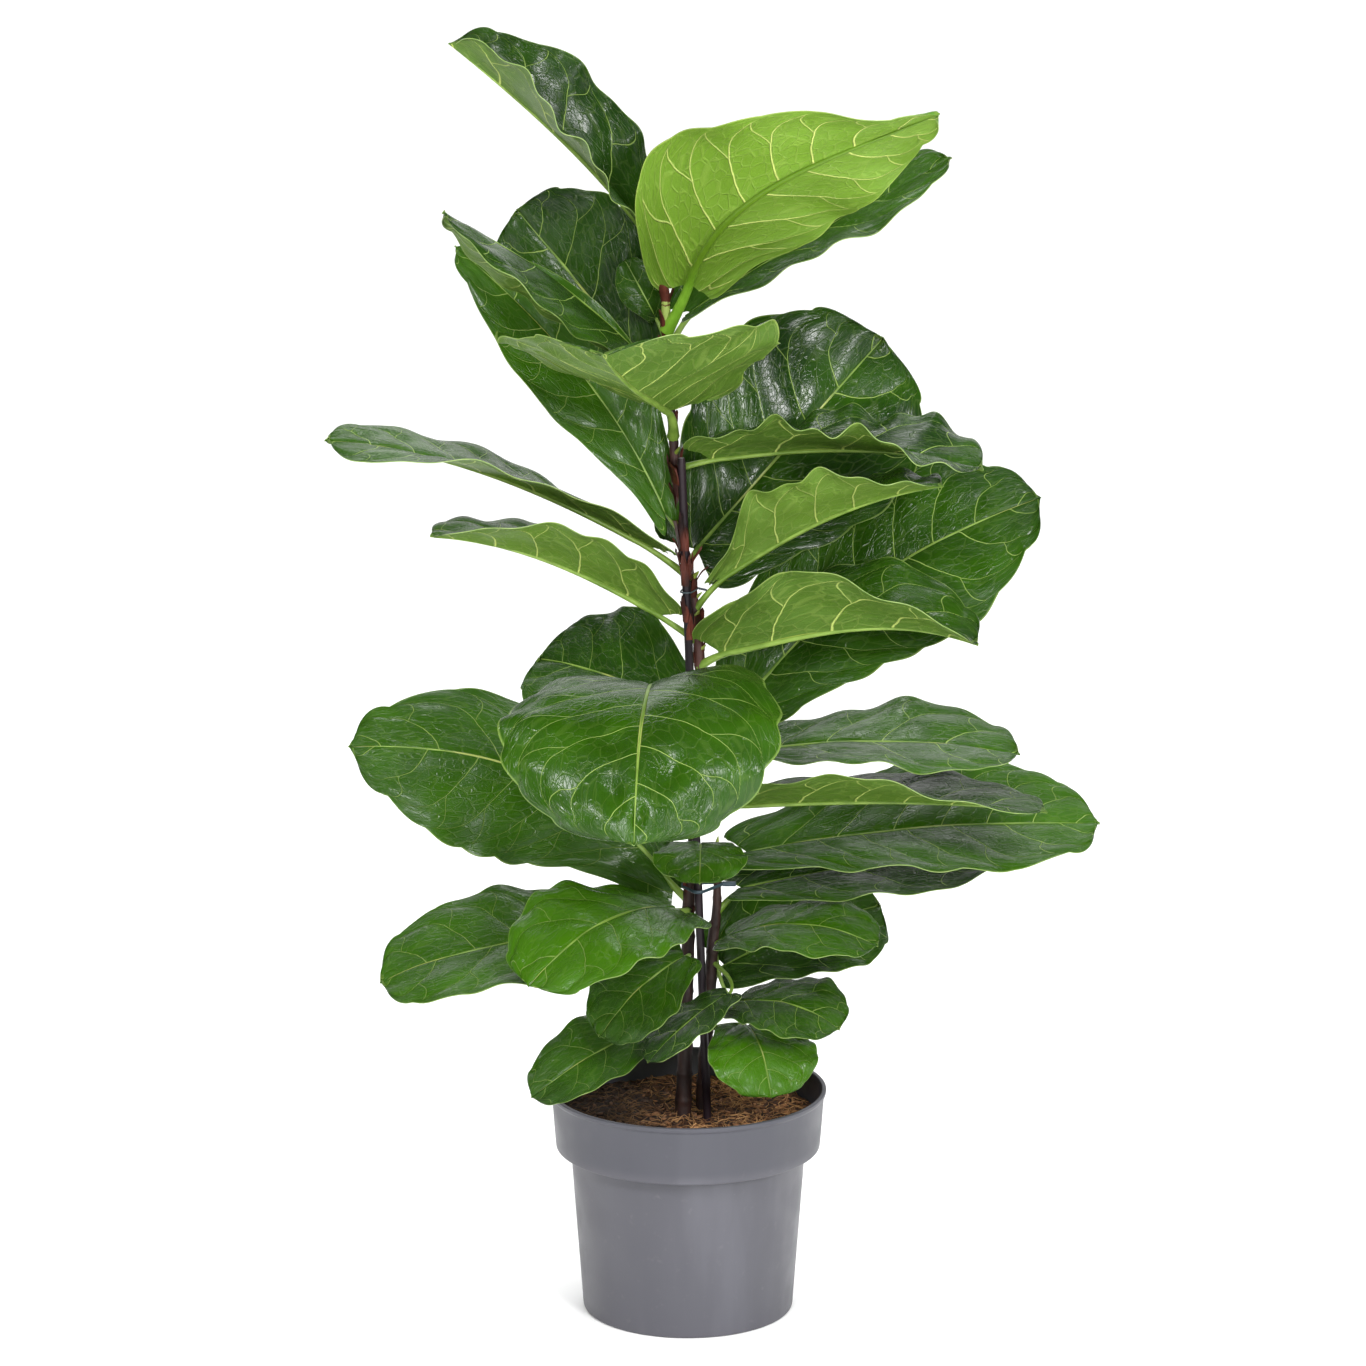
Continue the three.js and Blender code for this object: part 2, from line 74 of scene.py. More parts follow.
def readPlaces(mesh):
    places = np.zeros(len(mesh.vertices) * 3)
    mesh.vertices.foreach_get("co", places)
    return places.reshape(-1, 3)


def writePlaces(mesh, places):
    mesh.vertices.foreach_set("co", np.asarray(places, float).ravel())
    mesh.update()


def handIn(obj, name, slot, *nodes):
    obj.name = name
    obj.data.name = name
    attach(obj, "root")
    if nodes:
        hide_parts(*nodes)


def paint(obj, finish):
    obj.data.materials.clear()
    obj.data.materials.append(finish)


def finishPiece(obj, finish, name, slot, *nodes, angle=50):
    paint(obj, finish)
    smooth(obj, angle)
    handIn(obj, name, slot, *nodes)


def joinInto(first, others):
    pick(first, *others)
    bpy.ops.object.join()
    return first


def editAll(obj):
    pick(obj)
    bpy.ops.object.mode_set(mode="EDIT")
    bpy.ops.mesh.select_all(action="SELECT")


# Turns the faces outwards, and merges points that lie together first
def turnOut(obj, merge=True):
    editAll(obj)
    if merge:
        bpy.ops.mesh.remove_doubles(threshold=0.001 * mm)
    bpy.ops.mesh.normals_make_consistent(inside=False)
    bpy.ops.object.mode_set(mode="OBJECT")


# A mesh piece from places in metres
def newPiece(places, edges=(), faces=()):
    mesh = bpy.data.meshes.new("piece")
    mesh.from_pydata(places, edges, faces)
    obj = bpy.data.objects.new("piece", mesh)
    scene.collection.objects.link(obj)
    return obj


# A flat sheet from -1 to 1 both ways, with its places
def newSheet(across, rows):
    bpy.ops.mesh.primitive_grid_add(x_subdivisions=across, y_subdivisions=rows, size=2)
    obj = bpy.context.object
    return obj, readPlaces(obj.data)


# A round rod along points in millimetres, with a radius at each
def rod(points, radii, sides=12, closed=False):
    bpy.ops.curve.primitive_nurbs_path_add()
    obj = bpy.context.object
    curve = obj.data
    curve.splines.clear()
    spline = curve.splines.new("POLY")
    spline.points.add(len(points) - 1)
    for place, point, radius in zip(spline.points, points, radii):
        place.co = (*(np.asarray(point, float) * mm), 1)
        place.radius = float(radius)
    spline.use_cyclic_u = closed
    curve.dimensions = "3D"
    curve.bevel_depth = mm
    curve.bevel_resolution = max(0, sides // 4 - 1)
    curve.use_fill_caps = True
    pick(obj)
    bpy.ops.object.convert(target="MESH")
    turnOut(obj)
    return bpy.context.object


# A turned piece: the profile's radius and height in millimetres, spun round the upright axis
def turned(profile, steps=128):
    points = [(radius * mm, 0, height * mm) for radius, height in profile]
    obj = newPiece(points, [(i, i + 1) for i in range(len(points) - 1)])
    editAll(obj)
    bpy.ops.mesh.spin(steps=steps, angle=2 * math.pi, center=(0, 0, 0), axis=(0, 0, 1))
    bpy.ops.object.mode_set(mode="OBJECT")
    turnOut(obj)
    return obj


# A path is a list of x, y, height and radius. This fills it in with a smooth curve
def smoothPath(path, perSpan=8):
    path = np.asarray(path, float)
    ends = np.vstack([2 * path[0] - path[1], path, 2 * path[-1] - path[-2]])
    rows = []
    for i in range(1, len(ends) - 2):
        a, b, c, d = ends[i - 1:i + 3]
        for step in range(perSpan):
            s = step / perSpan
            rows.append(0.5 * (2 * b + (c - a) * s + (2 * a - 5 * b + 4 * c - d) * s * s
                               + (3 * b - a - 3 * c + d) * s ** 3))
    rows.append(path[-1])
    return np.array(rows)


def pathAt(path, height):
    path = np.asarray(path, float)
    return np.array([np.interp(height, path[:, 2], path[:, i]) for i in range(4)])


# Small helpers for materials
def newFinish(name, roughness, specular=0.5):
    finish = bpy.data.materials.new(name)
    finish.use_nodes = True
    tree = finish.node_tree
    shader = tree.nodes["Principled BSDF"]
    shader.inputs["Roughness"].default_value = roughness
    shader.inputs["Specular IOR Level"].default_value = specular
    return finish, tree, shader


def isSocket(value):
    return isinstance(value, bpy.types.NodeSocket)


def addNode(tree, kind, inputs=None, **settings):
    node = tree.nodes.new("ShaderNode" + kind)
    for key, value in settings.items():
        setattr(node, key, value)
    for key, value in (inputs or {}).items():
        if isSocket(value):
            tree.links.new(value, node.inputs[key])
        else:
            node.inputs[key].default_value = value
    return node


# A socket's id_data is the node tree that it is in
def calc(operation, *values):
    tree = next(filter(isSocket, values)).id_data
    return addNode(tree, "Math", dict(enumerate(values)), operation=operation).outputs[0]


def ramp(value, low, high, outLow=0.0, outHigh=1.0):
    inputs = {"Value": value, "From Min": low, "From Max": high, "To Min": outLow, "To Max": outHigh}
    return addNode(value.id_data, "MapRange", inputs, interpolation_type="SMOOTHSTEP").outputs["Result"]


def mixColour(share, first, second):
    colours = {i: value if isSocket(value) else (*value, 1) for i, value in ((6, first), (7, second))}
    return addNode(share.id_data, "Mix", {0: share, **colours}, data_type="RGBA").outputs[2]


def objectNoise(tree, scale, detail=3.0, stretch=(1, 1, 1)):
    place = addNode(tree, "TexCoord").outputs["Object"]
    if stretch != (1, 1, 1):
        place = addNode(tree, "Mapping", {"Vector": place, "Scale": stretch}).outputs["Vector"]
    return addNode(tree, "TexNoise", {"Vector": place, "Scale": scale, "Detail": detail}).outputs["Fac"]


def bump(shader, height, distance, strength=1.0, before=None):
    inputs = {"Height": height, "Distance": distance, "Strength": strength}
    if before is not None:
        inputs["Normal"] = before
    normal = addNode(height.id_data, "Bump", inputs).outputs["Normal"]
    height.id_data.links.new(normal, shader.inputs["Normal"])
    return normal


# Lays a colour over another where a mask shows
def tint(mask, share, below, over):
    return mixColour(calc("MULTIPLY", mask, share), below, over)


# A net of pale lines
def netLines(place, scale, even, low, high):
    inputs = {"Vector": place, "Scale": scale, "Randomness": even}
    edge = addNode(place.id_data, "TexVoronoi", inputs, feature="DISTANCE_TO_EDGE").outputs["Distance"]
    return ramp(edge, low, high, 1, 0)


# The vein map holds which side vein a point is near, as a whole number on each, and how far out
# it is, from 0 on the midrib to 1 at the margin
def veinLines(tree, thick):
    blade = addNode(tree, "UVMap", uv_map="bladeMap").outputs["UV"]
    veins = addNode(tree, "UVMap", uv_map="veinMap").outputs["UV"]
    along = addNode(tree, "SeparateXYZ", {0: blade}).outputs["X"]
    parts = addNode(tree, "SeparateXYZ", {0: veins})
    phase, away = parts.outputs["X"], parts.outputs["Y"]
    wander = addNode(tree, "TexNoise", {"Vector": blade, "Scale": 5.0, "Detail": 2.0}).outputs["Fac"]
    wander = calc("MULTIPLY", calc("SUBTRACT", wander, 0.5), 0.2)
    share = calc("FRACT", calc("ADD", phase, wander))
    near = calc("ABSOLUTE", calc("SUBTRACT", share, 0.5))  # 0.5 on a side vein
    width = calc("MULTIPLY_ADD", away, -0.013 * thick, 0.024 * thick)
    edge = calc("SUBTRACT", 0.5, width)
    side = ramp(near, edge, calc("MULTIPLY_ADD", width, -0.35, 0.5))
    side = calc("MULTIPLY", side, ramp(away, 0.9, 0.97, 1, 0))
    side = calc("MULTIPLY", side, ramp(phase, -0.5, -0.2))
    # a fork leaves each vein halfway out and runs back to the vein before it
    out = calc("DIVIDE", calc("SUBTRACT", away, 0.5), 0.42)
    fork = calc("SUBTRACT", 1.0, calc("POWER", calc("MAXIMUM", out, 0.0), 1.25))
    fork = calc("ABSOLUTE", calc("SUBTRACT", share, fork))
    fork = ramp(fork, 0.006 * thick, 0.016 * thick, 1, 0)
    fork = calc("MULTIPLY", fork, ramp(away, 0.5, 0.53))
    fork = calc("MULTIPLY", fork, ramp(away, 0.91, 0.95, 1, 0))
    middle = calc("MULTIPLY_ADD", along, -0.014, 0.022)
    middle = ramp(away, calc("MULTIPLY", middle, 0.6), middle, 1, 0)
    halo = ramp(near, 0.36, 0.5)
    halo = calc("MAXIMUM", halo, ramp(away, 0.0, 0.12, 1, 0))
    # cross veins between the side veins, and a finer net in them
    x = calc("MULTIPLY_ADD", wander, 6.0, calc("MULTIPLY", phase, 3.2))
    y = calc("MULTIPLY_ADD", wander, 6.0, calc("MULTIPLY", away, 9.0))
    place = addNode(tree, "CombineXYZ", {"X": x, "Y": y}).outputs["Vector"]
    cross = netLines(place, 1.0, 0.9, 0.015, 0.07)
    tiny = netLines(place, 3.6, 1.0, 0.01, 0.12)
    strong = calc("MAXIMUM", calc("MAXIMUM", side, calc("MULTIPLY", fork, 0.7)), middle)
    return dict(strong=strong, middle=middle, cross=cross, tiny=tiny, halo=halo, away=away)


def leafFinish(name, look):
    finish, tree, shader = newFinish(name, look["roughness"], look["specular"])
    lines = veinLines(tree, look["thick"])
    # painted sheen and painted shade: the tone lightens or darkens a whole leaf, partly for its own green and
    # partly for sheen and shade
    toneAndSheen = addNode(tree, "Attribute", attribute_name="toneAndSheen").outputs["Fac"]
    show = addNode(tree, "Attribute", attribute_name="show").outputs["Fac"]
    patch = ramp(objectNoise(tree, 14), 0.35, 0.7)
    blend = calc("MULTIPLY_ADD", patch, 0.3, calc("MULTIPLY", toneAndSheen, 0.8))
    colour = mixColour(blend, look["dark"], look["light"])
    lines["speck"] = ramp(objectNoise(tree, 260, 2), 0.5, 0.75)
    for line, over in (("halo", "light"), ("speck", "vein"), ("cross", "vein"), ("tiny", "light")):
        colour = tint(lines[line], look[line], colour, look[over])
    strong = calc("MULTIPLY", lines["strong"], look["strong"])
    colour = tint(strong, show, colour, look["vein"])
    colour = tint(lines["middle"], 0.8, colour, look["rib"])
    colour = tint(ramp(lines["away"], 0.983, 0.995), 0.35, colour, look["vein"])
    tree.links.new(colour, shader.inputs["Base Color"])
    rough = ramp(objectNoise(tree, 22), 0.3, 0.7, look["roughness"] - 0.05, look["roughness"] + 0.07)
    tree.links.new(rough, shader.inputs["Roughness"])
    height = calc("MULTIPLY_ADD", lines["cross"], 0.22, lines["strong"])
    height = calc("MULTIPLY_ADD", lines["tiny"], 0.09, height)
    normal = bump(shader, calc("MULTIPLY", height, look["relief"]), 0.0011)
    normal = bump(shader, objectNoise(tree, 380, 2), 0.0001, 0.12, normal)
    bump(shader, objectNoise(tree, 45, 2), 0.0006, 0.15, normal)
    return finish


leafLooks = dict(
    leafUpper=dict(
        dark=(0.005, 0.023, 0.001), light=(0.038, 0.122, 0.002), vein=(0.3, 0.43, 0.1), rib=(0.34, 0.38, 0.1),
        halo=0.1, speck=0.01, cross=0.05, tiny=0.08, strong=0.85, thick=0.78, relief=-1, roughness=0.2,
        specular=0.3),
    leafUnder=dict(
        dark=(0.05, 0.112, 0.008), light=(0.11, 0.205, 0.022), vein=(0.4, 0.5, 0.12), rib=(0.34, 0.42, 0.06),
        halo=0.15, speck=0.03, cross=0.12, tiny=0.1, strong=1, thick=1.45, relief=1.4, roughness=0.48,
        specular=0.3),
    youngUpper=dict(
        dark=(0.05, 0.16, 0.01), light=(0.1, 0.25, 0.02), vein=(0.36, 0.5, 0.1), rib=(0.26, 0.42, 0.05),
        halo=0.2, speck=0.03, cross=0.15, tiny=0.12, strong=0.9, thick=1.1, relief=-1, roughness=0.34,
        specular=0.45),
    # the young leaf's underside is its own pale green, brightened as painted light for the light shining
    # through it
    youngUnder=dict(
        dark=(0.108, 0.218, 0.012), light=(0.168, 0.305, 0.03), vein=(0.56, 0.66, 0.17),
        rib=(0.2, 0.36, 0.02), halo=0.2, speck=0.04, cross=0.08, tiny=0.1, strong=1, thick=1.6,
        relief=1.6, roughness=0.4, specular=0.35),
)
leafFinishes = {name: leafFinish(name, look) for name, look in leafLooks.items()}


# A plain finish: two colours mixed by a grain that also gives the relief
def plainFinish(name, dark, light, scale, roughness, relief=0.0002, stretch=(1, 1, 1), specular=0.4):
    finish, tree, shader = newFinish(name, roughness, specular)
    grain = objectNoise(tree, scale, 6, stretch)
    colour = mixColour(ramp(grain, 0.3, 0.7), dark, light)
    tree.links.new(colour, shader.inputs["Base Color"])
    normal = bump(shader, grain, relief * 4)
    bump(shader, objectNoise(tree, scale * 7, 3, stretch), relief, 0.7, normal)
    return finish


# Lays a colour over a finish along one axis. ramped is from, to, share at from, share at to
def overlay(finish, axis, ramped, colour, wander=0.05):
    tree = finish.node_tree
    shader = tree.nodes["Principled BSDF"]
    below = shader.inputs["Base Color"].links[0].from_socket
    place = addNode(tree, "TexCoord").outputs["Object"]
    value = addNode(tree, "SeparateXYZ", {0: place}).outputs[axis]
    value = calc("MULTIPLY_ADD", objectNoise(tree, 40, 3), wander, value)
    tree.links.new(mixColour(ramp(value, *ramped), below, colour), shader.inputs["Base Color"])


marginFinish = plainFinish("leafMargin", (0.15, 0.25, 0.05), (0.27, 0.36, 0.11), 80, 0.45)
stalkFinish = plainFinish("leafStalk", (0.1, 0.18, 0.02), (0.21, 0.32, 0.055), 40, 0.38)
youngStalkFinish = plainFinish("youngStalk", (0.12, 0.27, 0.015), (0.2, 0.39, 0.035), 60, 0.35)
overlay(youngStalkFinish, "Z", (1.03, 1.065, 0, 0.9), (0.085, 0.165, 0.008))
print("leaf finishes made")

# Leaves, in millimetres and degrees as the solids have them: height on the stem, foot and tip of the
# blade, the midrib's bend to the upper face and sway to the right, width, roll, fold of the left and
# right half at the foot and then at the tip, outline (widest place, width at the foot, bluntness),
# the margin's wave (height, waves, phase) and tone from dark to light, which is partly the leaf's own
# green and partly painted sheen and painted shade. show is for the veins, and a hollow is its place
# along and across, depth and reach.
plainLeaf = dict(
    stem="trunk", bend=(10, 10), sway=(0, 0), roll=0, fold=(0, 0, 0, 0), shape=(0.5, 0.5, 0.5),
    wave=(4, 2, 0), young=False, stalk=1, pucker=1, frill=1, lobed=1, show=1.0, curl=0, hollows=())
leaves = dict(
    leaf_01=dict(root=985, foot=(-34, 14, 1050), tip=(-222, -20, 1238), bend=(12, 8), width=130, roll=-38,
        fold=(32, 34, 80, 50), shape=(0.5, 0.5, 0.6), wave=(6, 3, 0), toneAndSheen=0.02, frill=1.7),
    leaf_02=dict(root=965, foot=(1, -16, 1012), tip=(225, -190, 1190), bend=(0, 0), sway=(44, 14),
        width=194, roll=-52, fold=(30, 4, 5, -42), shape=(0.3, 0.45, 1.0), wave=(7, 2.5, 1), toneAndSheen=0.42,
        young=True, stalk=1.7, pucker=0.8, frill=0.3, lobed=0.4),
    # painted sheen: this leaf's tone is raised to lighten it where it shows a grey sheen
    leaf_03=dict(root=940, foot=(2, 27, 980), tip=(251, 68, 1121), bend=(0, 0), sway=(-10, -5), width=178,
        roll=20, fold=(20, 20, 10, 10), shape=(0.5, 0.36, 0.9), toneAndSheen=0.3),
    leaf_04=dict(root=950, foot=(-31, 22, 976), tip=(-60, 27, 1030), bend=(5, 5), width=44, roll=-76,
        fold=(15, 15, 10, 10), shape=(0.5, 0.4, 0.6), wave=(3, 2, 0), toneAndSheen=0.15),
    leaf_05=dict(root=915, foot=(-50, 34, 941), tip=(-165, 105, 1068), bend=(0, 0), width=176, roll=-78,
        fold=(0, 5, 0, 5), shape=(0.5, 0.42, 0.6), toneAndSheen=0.0),
    leaf_06=dict(root=900, foot=(-44, -8, 943), tip=(-227, -75, 1087), width=155, roll=-28,
        fold=(0, -50, 10, -45), shape=(0.5, 0.4, 0.7), wave=(3, 2, 0), toneAndSheen=0.15),
    leaf_07=dict(root=770, foot=(-22, 6, 790), tip=(-223, 64, 1038), bend=(5, 5), sway=(20, 15),
        width=114, roll=-70, fold=(30, 8, 35, 8), shape=(0.5, 0.28, 0.9), wave=(5, 2, 0), toneAndSheen=0.6,
        pucker=1.3),
    leaf_08=dict(root=864, foot=(-17, -34, 894), tip=(-76, -255, 982), bend=(0, -10), width=282, roll=5,
        fold=(20, 22, 20, 22), shape=(0.5, 0.5, 0.6), wave=(5, 2, 0), toneAndSheen=0.25, stalk=1.45),
    leaf_09=dict(root=727, foot=(-34, -4, 758), tip=(-341, -50, 870), bend=(14, 20), width=140, roll=-6,
        fold=(30, 0, -10, 8), shape=(0.65, 0.4, 0.5), toneAndSheen=0.4),
    leaf_10=dict(root=664, foot=(-26, 2, 692), tip=(-242, -70, 782), bend=(10, 16), width=152,
        fold=(38, 20, 16, 10), shape=(0.45, 0.35, 0.5), toneAndSheen=0.5),
    leaf_11=dict(root=735, foot=(8, 42, 748), tip=(190, 135, 940), bend=(0, 0), width=225, roll=62,
        fold=(10, 10, 5, 5), shape=(0.6, 0.5, 0.6), wave=(5, 2, 0), toneAndSheen=0.0),
    leaf_12=dict(root=832, foot=(20, 4, 843), tip=(276, -70, 846), bend=(10, 15), width=150, roll=3,
        fold=(18, 38, 15, 0), shape=(0.6, 0.6, 0.5), wave=(8, 3, 0), toneAndSheen=0.0, frill=2.0),
    leaf_13=dict(root=694, foot=(30, -4, 728), tip=(238, -80, 832), bend=(10, 15), width=138,
        fold=(18, 58, 12, 10), shape=(0.46, 0.12, 0.5), wave=(6, 3, 0), toneAndSheen=0.7, frill=1.5),
    leaf_14=dict(root=587, foot=(66, 30, 614), tip=(341, 70, 793), bend=(16, 14), sway=(-18, -16),
        width=205, roll=50, fold=(10, 10, 5, 5), shape=(0.55, 0.5, 0.8), wave=(5, 2, 0), toneAndSheen=0.2,
        stalk=1.25),
    leaf_15=dict(root=640, foot=(30, -4, 656), tip=(272, -90, 682), bend=(10, 25), width=185,
        fold=(35, 52, 30, 20), shape=(0.45, 0.5, 0.7), toneAndSheen=0.12, stalk=1.25),
    leaf_16=dict(root=590, foot=(-16, 28, 598), tip=(-146, 120, 624), width=160, roll=-35,
        fold=(10, 10, 5, 5), wave=(5, 2, 0), toneAndSheen=0.1, frill=1.3, show=0.6),
    leaf_17=dict(root=607, foot=(-36, -40, 634), tip=(-50, -230, 524), bend=(30, 40), width=262,
        fold=(15, 5, -10, -10), shape=(0.5, 0.7, 0.5), wave=(5, 2, 0), toneAndSheen=0.3, pucker=0.5, curl=9,
        hollows=((0.72, -0.24, 9, 0.08), (0.8, 0.22, 8, 0.07), (0.56, 0.2, 6, 0.07),
                 (0.9, -0.05, 5, 0.05))),
    leaf_18=dict(root=408, foot=(-14, 16, 420), tip=(-328, 12, 560), bend=(30, 22), sway=(36, 30),
        width=190, roll=-47, fold=(-22, -22, -10, -10), shape=(0.6, 0.35, 0.8), toneAndSheen=0.4, stalk=1.2,
        pucker=0.75, show=0.6),
    leaf_19=dict(root=545, foot=(50, 10, 555), tip=(318, -20, 560), bend=(12, 12), width=160, roll=10,
        fold=(5, 5, 5, 5), shape=(0.6, 0.4, 0.5), toneAndSheen=0.5),
    leaf_20=dict(root=492, foot=(36, 8, 503), tip=(341, -70, 516), bend=(5, 8), width=155,
        fold=(10, 35, 5, 5), toneAndSheen=0.2, pucker=0.75),
    # painted sheen: this leaf's tone is raised to lighten it where it shows a grey sheen
    leaf_21=dict(stem="sideStem", root=432, foot=(57, 26, 452), tip=(400, 30, 479), bend=(10, 12),
        width=200, roll=20, fold=(10, 10, 5, 5), shape=(0.6, 0.4, 0.6), toneAndSheen=0.6, pucker=0.75),
    leaf_22=dict(stem="sideStem", root=392, foot=(52, 20, 418), tip=(318, 50, 450), bend=(5, 5),
        width=135, roll=20, fold=(5, 5, 5, 5), shape=(0.55, 0.4, 0.6), toneAndSheen=0.25, pucker=0.75),
    leaf_23=dict(stem="sideStem", root=445, foot=(12, -34, 476), tip=(11, -110, 456), bend=(8, 8),
        width=90, fold=(0, 0, -10, -10), shape=(0.55, 0.6, 0.7), wave=(2, 2, 0), toneAndSheen=0.65),
    leaf_24=dict(root=376, foot=(-36, -14, 386), tip=(-297, -38, 338), bend=(10, 20), width=165, roll=-20,
        fold=(5, 5, 5, 5), shape=(0.6, 0.4, 0.5), toneAndSheen=0.65, show=0.6),
    # painted sheen: a tone above 1 lightens this leaf where it shows a sheen
    leaf_25=dict(root=398, foot=(-12, -30, 410), tip=(-150, -150, 366), bend=(25, 25), width=168,
        roll=-10, shape=(0.5, 0.6, 0.5), wave=(3, 2, 0), toneAndSheen=1.2, show=0.6),
    leaf_26=dict(stem="sideStem", root=362, foot=(38, 0, 374), tip=(182, -60, 381), bend=(15, 20),
        width=112, roll=15, shape=(0.55, 0.5, 0.5), wave=(3, 2, 0), toneAndSheen=0.6, show=0.6),
    leaf_27=dict(stem="sideStem", root=318, foot=(36, 46, 332), tip=(190, 88, 382), width=148, roll=44,
        fold=(10, 30, 5, 0), shape=(0.55, 0.6, 0.5), wave=(3, 2, 0), toneAndSheen=0.3),
    leaf_28=dict(root=352, foot=(-4, -24, 361), tip=(-85, -60, 290), width=112, roll=-20,
        shape=(0.55, 0.5, 0.6), wave=(3, 2, 0), toneAndSheen=0.4, show=0.6),
    leaf_29=dict(root=285, foot=(-19, -15, 294), tip=(-151, -60, 229), width=92, roll=-25,
        fold=(5, 5, 5, 5), shape=(0.55, 0.5, 0.6), wave=(3, 2, 0), toneAndSheen=0.35, show=0.6),
    leaf_30=dict(stem="sideStem", root=345, foot=(38, -34, 326), tip=(-39, -90, 274), bend=(5, 5),
        width=70, shape=(0.5, 0.6, 0.6), wave=(2, 2, 0), toneAndSheen=0.1),
    leaf_31=dict(stem="sideStem", root=374, foot=(50, 2, 308), tip=(146, -58, 297), bend=(10, 15),
        width=108, roll=15, shape=(0.55, 0.6, 0.5), wave=(2, 2, 0), toneAndSheen=0.35),
    # painted sheen: a tone above 1 lightens this leaf where it shows a sheen
    leaf_32=dict(stem="sideStem", root=275, foot=(58, -4, 286), tip=(80, -66, 231), bend=(12, 12),
        width=112, shape=(0.5, 0.6, 0.5), wave=(2, 2, 0), toneAndSheen=1.5),
)
blade = dict(
    thickness=0.7,
    step=2.4,  # size of a face
    pull=1.5,  # how strongly bend and sway draw on the midrib
    widening=1.5,
    tipFrom=0.9, tipShare=0.05,  # where the outline starts to close round the tip, and the width left
    earRise=0.07, earShare=0.6,  # the same for the foot
    earLead=-0.06, tipLead=-0.02, endSharp=12,
    lobes=0.045, lobeMiddle=0.55,  # how far the margin stands out between two side veins, as a share
    fullWidth=180,  # narrower blades have weaker ripples
    puckers=2.7, puckerRound=0.7, ruffle=3.0, ruffles=2.3, lumps=1.3,
    groove=0.9, grooveWide=0.035,
    curlFrom=0.72, curlSpan=0.28,
)
veins = dict(
    gap=50.0, fewest=4,  # between side veins along the midrib
    lean=0.2,
    offset=0.45, first=0.3,  # the right half's veins lie between those of the left half
    sweep=0.45, sweepFrom=0.62, sweepSpan=0.33,  # towards the tip near the margin
    stray=0.2,
)
stalkForm = dict(
    radius=2.9, steps=14, ribSteps=34,
    smallWidth=120, smallScale=0.65,
    meets=0.04,  # the share of the blade where the stalk ends and the rib starts
    ribFrom=0.07, ribTo=0.985, ribShare=0.8, ribLeast=0.35,
)
# Paths of the stems and the cane: x, y, height and radius
trunkPath = [
    (-6, -6, 120, 8.5), (-5, -6, 193, 8), (-3, -2, 249, 7.2), (-2, 4, 308, 6.8), (0, 8, 368, 6.4),
    (1, 8, 415, 6), (9, 8, 508, 5.6), (12, 8, 607, 5.4), (10, 8, 661, 5.2), (4, 8, 710, 5.2),
    (-4, 8, 754, 5), (-10, 8, 803, 4.6), (-14, 8, 860, 4.4), (-17, 6, 899, 4.2),
    (-20, 2, 948, 4.2), (-21, 1, 986, 4.4), (-22, 1, 1018, 2.4),
]
sideStemPath = [
    (14, 22, 130, 7), (14, 22, 193, 6.8), (17, 18, 249, 6.4), (21, 15, 305, 6), (24, 14, 362, 5.6),
    (28, 14, 400, 4.4), (28, 14, 440, 3), (27, 14, 462, 1.6),
]
stakePath = [(24, -14, 60, 4.2), (-6.5, -9, 846, 4.2)]
stemPaths = {"trunk": trunkPath, "sideStem": sideStemPath}


def unit(vectors):
    return vectors / np.linalg.norm(vectors, axis=-1, keepdims=True)


# The midrib's four control points, and the way the upper face looks at the foot
def midribOf(leaf):
    foot, tip = np.array(leaf["foot"], float), np.array(leaf["tip"], float)
    along = tip - foot
    ahead = unit(along)
    skyward = unit(np.array((0, 0, 1.0)) - ahead * ahead[2])
    roll = math.radians(leaf["roll"])
    up = skyward * math.cos(roll) + np.cross(ahead, skyward) * math.sin(roll)
    right = np.cross(ahead, up)
    inner = []
    for share, bend, sway in zip((0.33, 0.67), leaf["bend"], leaf["sway"]):
        inner.append(foot + share * along + blade["pull"] * (bend * up + sway * right))
    return (foot, *inner, tip), up


def midribAt(midrib, t):
    (a, b, c, d), up = midrib
    t = np.asarray(t, float)[:, None]
    place = a * (1 - t) ** 3 + 3 * b * t * (1 - t) ** 2 + 3 * c * t * t * (1 - t) + d * t ** 3
    ahead = unit(3 * ((b - a) * (1 - t) ** 2 + 2 * (c - b) * t * (1 - t) + (d - c) * t * t))
    rise = unit(up - ahead * (ahead @ up)[:, None])
    return place, ahead, rise


# Half the blade's width at t, as a share of its widest
def outlineAt(leaf, t):
    peak, foot, point = leaf["shape"]
    tipFrom, earShare = blade["tipFrom"], blade["earShare"]
    before = foot + (1 - foot) * np.sin(np.pi / 2 * np.clip(t / peak, 0, 1)) ** blade["widening"]
    beyond = np.clip((t - peak) / (1 - peak), 0, 1)
    share = np.where(t < peak, before, (1 - beyond ** 2) ** point)
    start = (tipFrom - peak) / (1 - peak)
    closing = np.clip((t - tipFrom) / (1 - tipFrom), 0, 1)
    tip = (1 - start ** 2) ** point * np.sqrt(1 - closing ** 2 * (1 - blade["tipShare"] ** 2))
    share = np.where(t > tipFrom, np.maximum(share, tip), share)
    ear = np.clip(1 - t / blade["earRise"], 0, 1)
    return share * (earShare + (1 - earShare) * np.sqrt(1 - ear ** 2))


# Which side vein a point is near: whole numbers lie on a vein
def veinPhase(leaf, t, away, side, length, seed):
    slant = leaf["width"] / length
    lean = slant * (veins["lean"] * away + veins["lean"] * away ** 2)
    count = max(veins["fewest"], round(length / veins["gap"]))
    phase = (t - lean) * count + veins["offset"] * (side > 0) + veins["first"]
    sweep = np.clip((away - veins["sweepFrom"]) / veins["sweepSpan"], 0, 1) ** 2
    phase = phase - veins["sweep"] * sweep
    return phase + veins["stray"] * np.sin(5 * t + seed + 2 * side)


